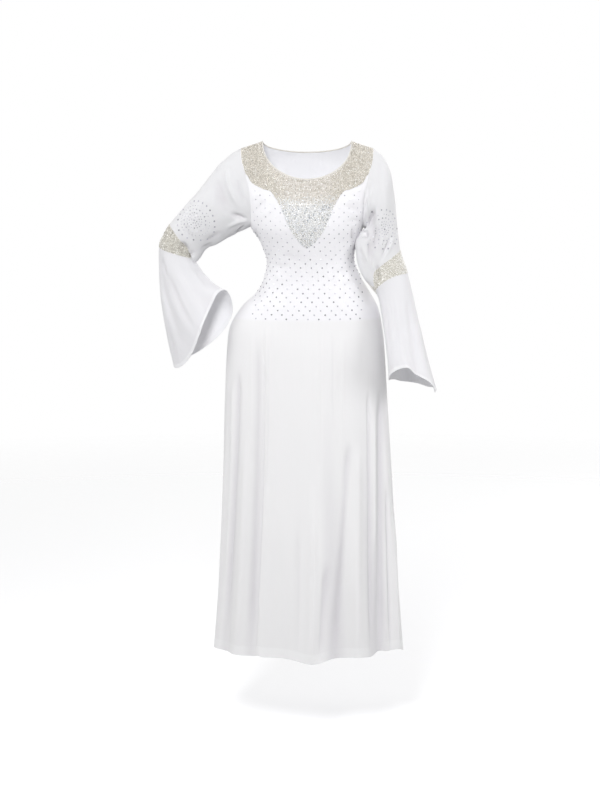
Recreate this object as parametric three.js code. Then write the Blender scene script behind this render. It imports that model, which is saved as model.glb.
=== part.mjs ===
// A long white kaftan as it hangs on a wearer whose right hand is on the hip and whose left arm hangs.
// Units are millimetres, +Z is up, +X is to the wearer's left, and the front faces -Y. The origin is midway
// between the shoulder seams at the height where they meet the neck, which is where the wearer carries it.
// Pieces: front, back, the close-set stone yoke on the front, the neck binding and, for each arm, an upper
// sleeve, a stone band round the elbow and a flared bell. Every piece is a thin wall of its own.
import * as THREE from "three";

// Cloth
const CLOTH = 2; // wall of each cloth piece
const YOKE_WALL = 1.2; // wall of the stone yoke that lies on the front
const YOKE_GAP = 0.9; // clearance under the yoke
const SEAM = 0.3; // gap between pieces that are sewn together
const ARMHOLE_GAP = 1.8; // share of the seam gap along a sleeve where it leaves the armhole
const BAND_GAP = 1.2; // and at the edges of its band
const MITRE_MOST = 1.8; // longest mitre at a seam, in walls

// Neck and shoulders
const NECK_HALF = 112; // half width of the neck edge, at the shoulder seams
const NECK_TOP = 5; // height of the shoulder seam's inner end
const SHOULDER_FALL = 0.33; // fall of the shoulder seam for each millimetre outwards
const SHOULDER_ROUND = 78; // height over which the cloth turns over the shoulder
const FRONT_NECK_LOW = -87;
const BACK_NECK_LOW = -24;
const BINDING = { width: 4.6, thick: 3, gap: 1, sides: 8 };
const NECK_LEAN = 0.4; // how far the binding leans in to the middle of the neck

// Levels
const ARMPIT = -205;
const HEM = -1258;
const LEVEL_BY = 300; // depth below the shoulder by which the rows run level

// Grid of the solids
const LOWER_ROWS = [
  -222, -240, -259, -279, -299, -320, -342, -366, -394, -428, -470, -530, -615, -720, -840, -975, -1115, HEM,
];
const ARMHOLE_ROWS = 13;
const FRONT_COLUMNS = 32;
const BACK_COLUMNS = 24;
const SHOULDER_SHARE = 0.14; // share of the columns on each shoulder seam
const YOKE_ROWS = 14;
const UPPER_RINGS = 11;
const BAND_RINGS = 2;
const BELL_RINGS = 11;

// Cross sections of the body, from the shoulders to the hem.
const BODY = [
  { z: 30, half: 210, shift: 0, front: 40, back: 40 },
  { z: -14, half: 200, shift: 0, front: 62, back: 60 },
  { z: -50, half: 191, shift: 0, front: 76, back: 72 },
  { z: -85, half: 180, shift: 0, front: 86, back: 80 },
  { z: -120, half: 168, shift: 0, front: 102, back: 84 },
  { z: -160, half: 154, shift: 0, front: 114, back: 83 },
  { z: -205, half: 140, shift: 0, front: 117, back: 80 },
  { z: -245, half: 119, shift: 4, front: 108, back: 76 },
  { z: -290, half: 109, shift: 9, front: 97, back: 76 },
  { z: -330, half: 121, shift: 14, front: 96, back: 85 },
  { z: -365, half: 139, shift: 16, front: 102, back: 96 },
  { z: -403, half: 169, shift: 7, front: 111, back: 110 },
  { z: -450, half: 189, shift: -2, front: 119, back: 122 },
  { z: -500, half: 196, shift: -3, front: 126, back: 130 },
  { z: -646, half: 204, shift: -2, front: 141, back: 143 },
  { z: -800, half: 211, shift: 1, front: 156, back: 156 },
  { z: -970, half: 219, shift: 3, front: 174, back: 169 },
  { z: -1116, half: 227, shift: 5, front: 189, back: 182 },
  { z: -1290, half: 240, shift: 5, front: 206, back: 196 },
];

// The armhole seam from the shoulder seam down to the side seam, at shares t of its length.
const ARMHOLE = [
  { t: 0, x: 166, z: -13 },
  { t: 0.17, x: 162, z: -45 },
  { t: 0.34, x: 151, z: -78 },
  { t: 0.5, x: 143, z: -113 },
  { t: 0.66, x: 139, z: -150 },
  { t: 0.81, x: 138.5, z: -181 },
  { t: 0.92, x: 139, z: -198 },
  { t: 1, x: 140, z: ARMPIT },
];

// Hanging folds of the skirt: place round the body (0 is the middle of the front, positive to the wearer's
// left, in radians) at the top and at the hem, half breadth, height out of the cloth, and where it starts.
const SKIRT_FOLDS = [
  { top: -0.3, hem: -0.47, broad: 0.17, out: 7, from: -470 },
  { top: -0.46, hem: -0.66, broad: 0.11, out: -9, from: -430 },
  { top: -0.75, hem: -0.88, broad: 0.12, out: 5, from: -480 },
  { top: -0.92, hem: -1.06, broad: 0.11, out: -6, from: -450 },
  { top: -1.3, hem: -1.3, broad: 0.15, out: 6, from: -520 },
  { top: 0.05, hem: 0.04, broad: 0.15, out: 10, from: -640 },
  { top: 0.24, hem: 0.26, broad: 0.14, out: -12, from: -560 },
  { top: 0.42, hem: 0.53, broad: 0.13, out: 9, from: -560 },
  { top: 0.72, hem: 0.84, broad: 0.17, out: -13, from: -520 },
  { top: 1.2, hem: 1.24, broad: 0.18, out: 7, from: -560 },
  { top: 1.75, hem: 1.8, broad: 0.16, out: -8, from: -560 },
  { top: 2.2, hem: 2.25, broad: 0.2, out: 9, from: -600 },
  { top: 2.6, hem: 2.66, broad: 0.17, out: -9, from: -620 },
  { top: 3.1, hem: 3.08, broad: 0.2, out: 9, from: -640 },
  { top: -2.75, hem: -2.78, broad: 0.17, out: -9, from: -600 },
  { top: -2.35, hem: -2.36, broad: 0.19, out: 8, from: -620 },
  { top: -1.85, hem: -1.88, broad: 0.17, out: -8, from: -560 },
];

// The hem line's rise and fall round the body.
const HEM_WAVES = [
  { at: 0.04, broad: 0.2, up: -9 },
  { at: 0.42, broad: 0.3, up: 4 },
  { at: 0.8, broad: 0.2, up: -5 },
  { at: 1.1, broad: 0.16, up: 6 },
  { at: 1.57, broad: 0.3, up: -15 },
  { at: -0.35, broad: 0.25, up: 6 },
  { at: 3.1, broad: 0.9, up: -6 },
];

// The lower edge of the yoke, from the armhole to its point.
const YOKE_EDGE = [
  { x: 0, z: -253 },
  { x: 14, z: -243 },
  { x: 42, z: -206 },
  { x: 66, z: -150 },
  { x: 88, z: -116 },
  { x: 108, z: -109 },
  { x: 137, z: -93 },
  { x: 147, z: -76 },
  { x: 170, z: -66 },
];
const YOKE_INSET = 0.022; // how far inside the armhole the yoke stops, as a share of the columns
const YOKE_START = 0.28; // how far below the front's top edge the yoke starts, in rows

// The arms. Station 0 is the armhole, 1 the upper edge of the band, 2 its lower edge and 3 the bell's hem.
// outer and inner are the sleeve's two outline lines, half is its half depth between them, and turn swings
// the depth direction.
const RIGHT_ARM = [
  { s: 0, outX: -166, outY: 0, outZ: -13, inX: -140, inY: 0, inZ: -205, half: 56, turn: 0 },
  { s: 0.13, outX: -189, outY: 1, outZ: -27, inX: -154, inY: 2, inZ: -212, half: 57, turn: 0 },
  { s: 0.32, outX: -221, outY: 4, outZ: -56, inX: -180, inY: 6, inZ: -225, half: 54, turn: 0 },
  { s: 0.52, outX: -258, outY: 10, outZ: -101, inX: -212, inY: 12, inZ: -240, half: 50, turn: 2 },
  { s: 0.72, outX: -294, outY: 18, outZ: -143, inX: -246, inY: 20, inZ: -256, half: 46, turn: 4 },
  { s: 0.88, outX: -322, outY: 26, outZ: -175, inX: -269, inY: 24, inZ: -270, half: 43, turn: 5 },
  { s: 1, outX: -342, outY: 32, outZ: -199, inX: -283, inY: 27, inZ: -274, half: 41, turn: 6 },
  { s: 1.5, outX: -359, outY: 36, outZ: -228, inX: -285, inY: 28, inZ: -279, half: 41, turn: 8 },
  { s: 2, outX: -370, outY: 38, outZ: -258, inX: -284, inY: 28, inZ: -285, half: 41, turn: 8 },
  { s: 2.2, outX: -370, outY: 34, outZ: -325, inX: -263, inY: 18, inZ: -315, half: 42, turn: 8 },
  { s: 2.4, outX: -366, outY: 28, outZ: -383, inX: -248, inY: 8, inZ: -331, half: 43, turn: 9 },
  { s: 2.6, outX: -358, outY: 21, outZ: -441, inX: -234, inY: -4, inZ: -344, half: 45, turn: 10 },
  { s: 2.8, outX: -347, outY: 13, outZ: -499, inX: -219, inY: -16, inZ: -353, half: 46, turn: 10 },
  { s: 3, outX: -333, outY: 5, outZ: -556, inX: -202, inY: -28, inZ: -361, half: 47, turn: 10 },
];
const LEFT_ARM = [
  { s: 0, outX: 166, outY: 0, outZ: -13, inX: 140, inY: 0, inZ: -205, half: 56, turn: 0 },
  { s: 0.13, outX: 188, outY: -1, outZ: -32, inX: 147, inY: -2, inZ: -217, half: 60, turn: 0 },
  { s: 0.32, outX: 206, outY: -4, outZ: -72, inX: 142, inY: -14, inZ: -234, half: 60, turn: 0 },
  { s: 0.52, outX: 216, outY: -8, outZ: -125, inX: 130, inY: -28, inZ: -256, half: 56, turn: 0 },
  { s: 0.72, outX: 221, outY: -13, outZ: -178, inX: 126, inY: -38, inZ: -283, half: 50, turn: 0 },
  { s: 0.88, outX: 226, outY: -18, outZ: -226, inX: 132, inY: -44, inZ: -308, half: 46, turn: 0 },
  { s: 1, outX: 231, outY: -22, outZ: -262, inX: 141, inY: -47, inZ: -327, half: 44, turn: 0 },
  { s: 1.5, outX: 240, outY: -28, outZ: -290, inX: 159, inY: -52, inZ: -353, half: 43, turn: 0 },
  { s: 2, outX: 249, outY: -34, outZ: -318, inX: 176, inY: -57, inZ: -378, half: 43, turn: 0 },
  { s: 2.2, outX: 262, outY: -40, outZ: -372, inX: 183, inY: -66, inZ: -418, half: 48, turn: 0 },
  { s: 2.4, outX: 275, outY: -46, outZ: -429, inX: 189, inY: -74, inZ: -458, half: 56, turn: 0 },
  { s: 2.6, outX: 289, outY: -51, outZ: -487, inX: 194, inY: -82, inZ: -498, half: 66, turn: 0 },
  { s: 2.8, outX: 304, outY: -56, outZ: -545, inX: 198, inY: -90, inZ: -538, half: 77, turn: 0 },
  { s: 3, outX: 321, outY: -60, outZ: -602, inX: 201, inY: -97, inZ: -578, half: 88, turn: 0 },
];

// Folds of the sleeves: station and place round the sleeve (0 at the outer line, half pi at the front,
// pi at the inner line), half lengths along each, the slant of the fold, and its height.
const RIGHT_FOLDS = [
  { s: 0.96, round: 3.1, long: 0.13, broad: 0.55, slant: 0, out: 13 },
  { s: 2.45, round: 0.75, long: 0.4, broad: 0.3, slant: 0.5, out: -6 },
  { s: 2.75, round: 1.5, long: 0.5, broad: 0.35, slant: 0.4, out: 6 },
  { s: 3, round: 2.2, long: 0.5, broad: 0.3, slant: 0.2, out: -5 },
  { s: 3, round: 4.1, long: 0.45, broad: 0.35, slant: 0, out: 9 },
  { s: 3, round: 5, long: 0.5, broad: 0.35, slant: 0, out: -8 },
];
const LEFT_FOLDS = [
  { s: 0.33, round: 2.2, long: 0.25, broad: 0.32, slant: -0.9, out: -10 },
  { s: 0.3, round: 2.9, long: 0.22, broad: 0.3, slant: -0.6, out: 7 },
  { s: 0.85, round: 2.75, long: 0.4, broad: 0.3, slant: 0, out: 6 },
  { s: 0.95, round: 2.05, long: 0.4, broad: 0.24, slant: 0, out: -6 },
  { s: 3, round: 0.9, long: 0.6, broad: 0.32, slant: 0, out: 9 },
  { s: 3, round: 1.7, long: 0.5, broad: 0.34, slant: 0, out: -8 },
  { s: 3, round: 2.6, long: 0.6, broad: 0.34, slant: 0, out: 8 },
  { s: 3, round: 3.7, long: 0.5, broad: 0.36, slant: 0, out: -8 },
  { s: 3, round: 4.7, long: 0.5, broad: 0.36, slant: 0, out: 9 },
  { s: 3, round: 5.6, long: 0.5, broad: 0.34, slant: 0, out: -7 },
];
// How far a bell's hem reaches past the line between its two outline ends, on the front and on the back,
// and how much more it does so near the outer end.
const RIGHT_REACH = { front: { past: 15, outer: 15 }, back: { past: 44, outer: -10 }, grow: 1.6 };
const LEFT_REACH = { front: { past: -40, outer: 18 }, back: { past: 6, outer: 0 }, grow: 2 };
const ARMHOLE_FADE = 0.38; // station by which a sleeve has left the armhole's own outline

// Where the edges of a band leave their stations, by the place round: the left upper sleeve's folds hang
// down over its band, and the band's lower edge runs higher across the front.
const EDGE_SHIFTS = [
  { edge: 1, round: 2.62, broad: 0.3, shift: 0.5 },
  { edge: 2, round: 1.9, broad: 0.9, shift: -0.4 },
  { edge: 2, round: 2.6, broad: 0.35, shift: -0.12 },
];
// How many stations before and after an edge its shift fades over.
const EDGE_REACH = { 1: { before: 0.6, after: 1 }, 2: { before: 1, after: 0.8 } };
const FULL_TURN = 2 * Math.PI;

// A smooth curve through one column of a table, as a function of another column.
function column(table, key, value) {
  const rows = [...table].sort((a, b) => a[key] - b[key]);
  const at = rows.map((row) => row[key]);
  const to = rows.map((row) => row[value]);
  const last = rows.length - 1;
  const slope = to.map((_, i) => {
    const a = Math.max(i - 1, 0);
    const b = Math.min(i + 1, last);
    return (to[b] - to[a]) / (at[b] - at[a]);
  });
  return (x) => {
    const p = THREE.MathUtils.clamp(x, at[0], at[last]);
    let i = 0;
    while (i < last - 1 && p > at[i + 1]) i += 1;
    const step = at[i + 1] - at[i];
    const t = (p - at[i]) / step;
    const t2 = t * t;
    const t3 = t2 * t;
    return (
      (2 * t3 - 3 * t2 + 1) * to[i] +
      (t3 - 2 * t2 + t) * step * slope[i] +
      (3 * t2 - 2 * t3) * to[i + 1] +
      (t3 - t2) * step * slope[i + 1]
    );
  };
}

// One function for each column of a table but its key.
function columns(table, key) {
  const names = Object.keys(table[0]).filter((name) => name !== key);
  return Object.fromEntries(names.map((name) => [name, column(table, key, name)]));
}

const body = columns(BODY, "z");
const armhole = columns(ARMHOLE, "t");
const yokeEdge = column(YOKE_EDGE, "x", "z");
const bell = (offset, broad) => Math.exp(-((offset / broad) ** 2));
const ease = THREE.MathUtils.smoothstep;

// The shortest way round from one angle to another.
function turnFrom(a, b) {
  return ((((a - b + Math.PI) % FULL_TURN) + FULL_TURN) % FULL_TURN) - Math.PI;
}

// How far the skirt's folds push the cloth out at an angle round the body and a height.
function foldOut(round, z) {
  let out = 0;
  for (const fold of SKIRT_FOLDS) {
    const grown = ease(fold.from - z, 0, fold.from - HEM);
    if (grown <= 0) continue;
    const place = fold.top + (fold.hem - fold.top) * grown;
    out += fold.out * grown * bell(turnFrom(round, place), fold.broad * (0.6 + 0.4 * grown));
  }
  return out;
}

function hemRise(round) {
  return HEM_WAVES.reduce((up, wave) => up + wave.up * bell(turnFrom(round, wave.at), wave.broad), 0);
}

function shoulderTop(x) {
  return NECK_TOP - SHOULDER_FALL * (Math.abs(x) - NECK_HALF);
}

// A point of the body's cloth: across is -pi/2 at the wearer's right side seam and pi/2 at the left one.
// face is -1 for the front and 1 for the back.
function bodyPoint(across, z, face) {
  const x = body.half(z) * Math.sin(across);
  const over = THREE.MathUtils.clamp((shoulderTop(x) - z) / SHOULDER_ROUND, 0, 1);
  const deep = face < 0 ? body.front(z) : body.back(z);
  const y = face * deep * Math.max(Math.cos(across), 0) ** 0.9 * Math.sqrt(1 - (1 - over) ** 2);
  const round = face < 0 ? across : Math.PI - across;
  const grow = 1 + foldOut(round, z) / Math.max(Math.hypot(x, y), 1);
  return new THREE.Vector3(x * grow + body.shift(z), y * grow, z);
}

// The height of the body's outline at a row: the armhole for the first rows, then the side seam.
function rowHeight(row) {
  if (row <= ARMHOLE_ROWS) return armhole.z(row / ARMHOLE_ROWS);
  const below = row - ARMHOLE_ROWS;
  const k = Math.min(Math.floor(below), LOWER_ROWS.length - 1);
  const above = k === 0 ? ARMPIT : LOWER_ROWS[k - 1];
  return above + (LOWER_ROWS[k] - above) * (below - k);
}

// The top edge of a body piece: shoulder seam, neck edge, shoulder seam. u runs from 0 to 1 across.
function topEdge(u, neckLow) {
  const side = u < 0.5 ? -1 : 1;
  const inward = Math.min(u, 1 - u);
  if (inward < SHOULDER_SHARE) {
    const x = armhole.x(0) + (NECK_HALF - armhole.x(0)) * (inward / SHOULDER_SHARE);
    return { x: side * x, z: shoulderTop(x) };
  }
  const angle = (Math.PI / 2) * ((inward - SHOULDER_SHARE) / (0.5 - SHOULDER_SHARE));
  return { x: side * NECK_HALF * Math.cos(angle), z: NECK_TOP + (neckLow - NECK_TOP) * Math.sin(angle) };
}

// A point of the front or back at column u (0 to 1) and row (0 at the top edge).
function panelPoint(u, row, face) {
  const neckLow = face < 0 ? FRONT_NECK_LOW : BACK_NECK_LOW;
  const sideZ = rowHeight(row);
  const topZ = armhole.z(0);
  const level = ease(topZ - sideZ, 0, LEVEL_BY);
  const top = topEdge(u, neckLow);
  const topAcross = Math.asin(top.x / body.half(top.z));
  const topSide = Math.asin(armhole.x(0) / body.half(topZ));
  const share = THREE.MathUtils.lerp(topAcross / topSide, 2 * u - 1, level);
  const sideAcross =
    row < ARMHOLE_ROWS
      ? Math.asin(Math.min(armhole.x(row / ARMHOLE_ROWS) / body.half(sideZ), 1))
      : Math.PI / 2;
  const across = share * sideAcross;
  const round = face < 0 ? across : Math.PI - across;
  const down = ease(row, ARMHOLE_ROWS, ARMHOLE_ROWS + LOWER_ROWS.length);
  const z = sideZ + (top.z - topZ) * (1 - level) + hemRise(round) * down;
  const point = bodyPoint(across, z, face);
  if (row < ARMHOLE_ROWS) point.x -= body.shift(z);
  return point;
}

// A grid of points with its outward normals, taken from small steps of the surface function.
function surfaceGrid(surface, us, vs, flip, closed = false) {
  const points = vs.map((v) => us.map((u) => surface(u, v)));
  const wrap = us.length;
  const normals = points.map((line, j) =>
    line.map((_, i) => {
      const before = closed ? (i + wrap - 1) % wrap : Math.max(i - 1, 0);
      const after = closed ? (i + 1) % wrap : Math.min(i + 1, wrap - 1);
      const along = new THREE.Vector3().subVectors(line[after], line[before]);
      const above = points[Math.max(j - 1, 0)][i];
      const below = points[Math.min(j + 1, vs.length - 1)][i];
      const down = new THREE.Vector3().subVectors(below, above);
      return down.cross(along).normalize().multiplyScalar(flip);
    }),
  );
  return { points, normals, closed };
}

// The vectors from the outer face to the inner face of a wall.
function wallVectors(grid, wall) {
  return grid.normals.map((line) => line.map((n) => n.clone().multiplyScalar(-wall)));
}

// The mitre of two walls that meet at a seam.
function mitre(a, b, wall) {
  const sum = new THREE.Vector3().addVectors(a, b);
  const size = Math.min(1 / Math.max(1 + a.dot(b), 0.01), MITRE_MOST / Math.max(sum.length(), 0.01));
  return sum.multiplyScalar(-wall * size);
}

// A closed wall from a grid of outer points and its inward vectors.
function wallGeometry(points, inward, closed) {
  const rows = points.length;
  const wide = points[0].length;
  const flatOuter = points.flat();
  const flatInner = points.flatMap((line, j) => line.map((p, i) => p.clone().add(inward[j][i])));
  const positions = [...flatOuter, ...flatInner].flatMap((p) => [p.x, p.y, p.z]);
  const index = [];
  const inner = rows * wide;
  const quad = (a, b, c, d) => index.push(a, b, c, a, c, d);
  const spans = closed ? wide : wide - 1;
  for (let j = 0; j < rows - 1; j += 1) {
    for (let i = 0; i < spans; i += 1) {
      const k = (i + 1) % wide;
      const [a, b, c, d] = [j * wide + i, j * wide + k, (j + 1) * wide + k, (j + 1) * wide + i];
      quad(a, d, c, b);
      quad(inner + a, inner + b, inner + c, inner + d);
    }
    if (!closed) {
      const [left, right] = [j * wide, j * wide + wide - 1];
      quad(left, inner + left, inner + left + wide, left + wide);
      quad(right, right + wide, inner + right + wide, inner + right);
    }
  }
  for (let i = 0; i < spans; i += 1) {
    const k = (i + 1) % wide;
    const last = (rows - 1) * wide;
    quad(i, k, inner + k, inner + i);
    quad(last + i, inner + last + i, inner + last + k, last + k);
  }
  const geometry = new THREE.BufferGeometry();
  geometry.setAttribute("position", new THREE.Float32BufferAttribute(positions, 3));
  geometry.setIndex(index);
  return geometry;
}

// A wall whose faces point out, whichever way its grid runs.
function wallMesh(name, points, inward, closed, material) {
  const geometry = wallGeometry(points, inward, closed);
  if (signedVolume(geometry) < 0) {
    const index = geometry.getIndex();
    for (let i = 0; i < index.count; i += 3) {
      const second = index.getX(i + 1);
      index.setX(i + 1, index.getX(i + 2));
      index.setX(i + 2, second);
    }
  }
  geometry.computeVertexNormals();
  const mesh = new THREE.Mesh(geometry, material);
  mesh.name = name;
  return mesh;
}

function signedVolume(geometry) {
  const place = geometry.getAttribute("position");
  const index = geometry.getIndex();
  const corner = (i) => new THREE.Vector3().fromBufferAttribute(place, index.getX(i));
  let volume = 0;
  for (let i = 0; i < index.count; i += 3) {
    volume += corner(i).dot(corner(i + 1).cross(corner(i + 2))) / 6;
  }
  return volume;
}

const steps = (count) => Array.from({ length: count + 1 }, (_, i) => i / count);
const LAST_ROW = ARMHOLE_ROWS + LOWER_ROWS.length;
const ROWS = steps(LAST_ROW).map((share) => share * LAST_ROW);

function panelGrid(face, count) {
  return surfaceGrid((u, row) => panelPoint(u, row, face), steps(count), ROWS, 1);
}

// A place round a sleeve, from its row in the armhole: 0 at the shoulder, pi at the armpit, by the front.
function sleeveStops() {
  const stops = [];
  for (let row = 0; row <= ARMHOLE_ROWS; row += 1) stops.push({ row, face: -1 });
  for (let row = ARMHOLE_ROWS - 1; row > 0; row -= 1) stops.push({ row, face: 1 });
  return stops.map((stop) => {
    const half = (Math.PI * stop.row) / ARMHOLE_ROWS;
    return { ...stop, round: stop.face < 0 ? half : FULL_TURN - half };
  });
}

// The sleeve's point at a station, given its place round and the armhole point there.
function sleevePoint(arm, side, hem, station, stop) {
  const at = (name) => arm[name](station);
  const outer = new THREE.Vector3(at("outX"), at("outY"), at("outZ"));
  const inner = new THREE.Vector3(at("inX"), at("inY"), at("inZ"));
  const turn = THREE.MathUtils.degToRad(at("turn"));
  const deep = new THREE.Vector3(Math.sin(turn), Math.cos(turn), 0);
  const chord = new THREE.Vector3().subVectors(inner, outer);
  const ahead = new THREE.Vector3().crossVectors(deep, chord).normalize().multiplyScalar(-side);
  const start = stop.local;
  const away = ease(station, 0, ARMHOLE_FADE);
  const down = THREE.MathUtils.lerp(start.down, (1 - Math.cos(stop.round)) / 2, away);
  const depth = THREE.MathUtils.lerp(start.depth, -Math.sin(stop.round), away) * at("half");
  const half = stop.face < 0 ? stop.round : FULL_TURN - stop.round;
  const { past, outer: more } = stop.face < 0 ? hem.front : hem.back;
  const reach = past * Math.sin(half) ** 2 + more * Math.sin(2 * half);
  const bow = start.ahead * (1 - away) + reach * Math.max(station - 2, 0) ** hem.grow;
  return outer.addScaledVector(chord, down).addScaledVector(deep, depth).addScaledVector(ahead, bow);
}

// Where an armhole point lies between the ends of the armhole: down, depth and ahead of its chord.
function armholeLocal(arm, side, point) {
  const outer = new THREE.Vector3(arm.outX(0), arm.outY(0), arm.outZ(0));
  const inner = new THREE.Vector3(arm.inX(0), arm.inY(0), arm.inZ(0));
  const chord = new THREE.Vector3().subVectors(inner, outer);
  const deep = new THREE.Vector3(0, 1, 0);
  const ahead = new THREE.Vector3().crossVectors(deep, chord).normalize().multiplyScalar(-side);
  const offset = new THREE.Vector3().subVectors(point, outer);
  return {
    down: offset.dot(chord) / chord.lengthSq(),
    depth: point.y / arm.half(0),
    ahead: offset.dot(ahead),
  };
}

// The station that a point slides to when the edges beside it are shifted.
function shiftedStation(shifts, station, round) {
  return shifts.reduce((moved, { edge, round: place, broad, shift }) => {
    const fade = EDGE_REACH[edge];
    const gone = (station - edge) / (station < edge ? -fade.before : fade.after);
    return moved + shift * Math.max(1 - gone, 0) * bell(turnFrom(round, place), broad);
  }, station);
}

// How far a sleeve's folds push its cloth out.
function sleeveFoldOut(folds, station, round) {
  return folds.reduce((out, fold) => {
    const along = (station - fold.s) / fold.long;
    const about = turnFrom(round, fold.round + fold.slant * (station - fold.s));
    return out + fold.out * Math.exp(-(along * along)) * bell(about, fold.broad);
  }, 0);
}

// One arm's three tubes, sewn to the armhole of the two body grids.
function buildArm(names, { table, folds, hem, shifts, side }, front, back, materials) {
  const arm = columns(table, "s");
  const edge = side < 0 ? 0 : -1;
  const take = (line) => line.at(edge);
  const stops = sleeveStops().map((stop) => {
    const grid = stop.face < 0 ? front : back;
    const seam = take(grid.points[stop.row]);
    const normal = take(grid.normals[stop.row]);
    return { ...stop, seam, normal, local: armholeLocal(arm, side, seam) };
  });
  const stations = [
    ...steps(UPPER_RINGS),
    ...steps(BAND_RINGS).slice(1).map((t) => 1 + t),
    ...steps(BELL_RINGS).slice(1).map((t) => 2 + t),
  ];
  const places = [...stops.keys()];
  const slide = (s, i) => shiftedStation(shifts, s, stops[i].round);
  const plain = surfaceGrid(
    (i, s) => sleevePoint(arm, side, hem, slide(s, i), stops[i]), places, stations, 1, true,
  );
  const outwards = Math.sign(plain.normals[UPPER_RINGS][0].x * side) || 1;
  plain.points.forEach((line, j) =>
    line.forEach((p, i) => {
      const s = slide(stations[j], i);
      const out = sleeveFoldOut(folds, s, stops[i].round) * ease(s, 0.04, 0.25);
      p.addScaledVector(plain.normals[j][i], out * outwards);
    }),
  );
  const whole = surfaceGrid((i, j) => plain.points[j][i], places, [...stations.keys()], outwards, true);
  const bounds = [0, UPPER_RINGS, UPPER_RINGS + BAND_RINGS, stations.length - 1];
  const inward = wallVectors(whole, CLOTH);
  stops.forEach((stop, i) => {
    const first = new THREE.Vector3().subVectors(whole.points[1][i], whole.points[0][i]);
    stop.inward = mitre(whole.normals[0][i], stop.normal, CLOTH);
    inward[0][i] = stop.inward;
    whole.points[0][i].addScaledVector(first.normalize(), SEAM * ARMHOLE_GAP);
  });
  const meshes = names.map((name, piece) => {
    const taken = whole.points.slice(bounds[piece], bounds[piece + 1] + 1);
    const rows = taken.map((line) => line.map((p) => p.clone()));
    if (piece > 0) {
      rows[0].forEach((p, i) => {
        const ahead = new THREE.Vector3().subVectors(rows[1][i], p);
        p.addScaledVector(ahead.normalize(), SEAM * BAND_GAP);
      });
    }
    return wallMesh(name, rows, inward.slice(bounds[piece], bounds[piece + 1] + 1), true, materials[piece]);
  });
  return { meshes, side, list: stops };
}

// Gives the side, shoulder and armhole edges of the two body grids their shared inward vectors.
function sewBody(front, back, armStops) {
  const pieces = [front, back].map((grid) => ({ ...grid, inward: wallVectors(grid, CLOTH) }));
  const flat = (v) => new THREE.Vector3(v.x, 0, v.z).normalize();
  pieces.forEach((piece, k) => {
    const face = k === 0 ? -1 : 1;
    const last = piece.points[0].length - 1;
    const shoulder = Math.round(SHOULDER_SHARE * last);
    piece.points.forEach((line, j) => {
      for (const i of [0, last]) {
        if (j < ARMHOLE_ROWS) continue;
        piece.inward[j][i] = flat(piece.normals[j][i]).multiplyScalar(-CLOTH);
        line[i].y = (face * SEAM) / 2;
      }
    });
    for (let i = 0; i <= last; i += 1) {
      if (i > shoulder && i < last - shoulder) continue;
      piece.inward[0][i] = flat(piece.normals[0][i]).multiplyScalar(-CLOTH);
      piece.points[0][i].y = (face * SEAM) / 2;
    }
    for (const stops of armStops) {
      const edge = stops.side < 0 ? 0 : last;
      stops.list.forEach((stop) => {
        const here = stop.face === face || stop.row === 0 || stop.row === ARMHOLE_ROWS;
        if (here) piece.inward[stop.row][edge] = stop.inward;
      });
    }
  });
  return pieces;
}

// The yoke's grid: the front's own points down to the yoke's edge, moved out by the gap and its wall.
function buildYoke(material) {
  const us = steps(FRONT_COLUMNS).map((u) => YOKE_INSET + (1 - 2 * YOKE_INSET) * u);
  const lowest = us.map((u) => {
    let [above, below] = [0, ARMHOLE_ROWS + LOWER_ROWS.length / 2];
    for (let i = 0; i < 40; i += 1) {
      const row = (above + below) / 2;
      const p = panelPoint(u, row, -1);
      if (p.z > yokeEdge(Math.abs(p.x))) above = row;
      else below = row;
    }
    return above;
  });
  const surface = (i, v) => panelPoint(us[i], YOKE_START + (lowest[i] - YOKE_START) * v, -1);
  const grid = surfaceGrid(surface, [...us.keys()], steps(YOKE_ROWS), 1);
  const out = grid.points.map((line, j) =>
    line.map((p, i) => p.clone().addScaledVector(grid.normals[j][i], YOKE_GAP + YOKE_WALL)),
  );
  return wallMesh("front_yoke", out, wallVectors(grid, YOKE_WALL), false, material);
}

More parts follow.
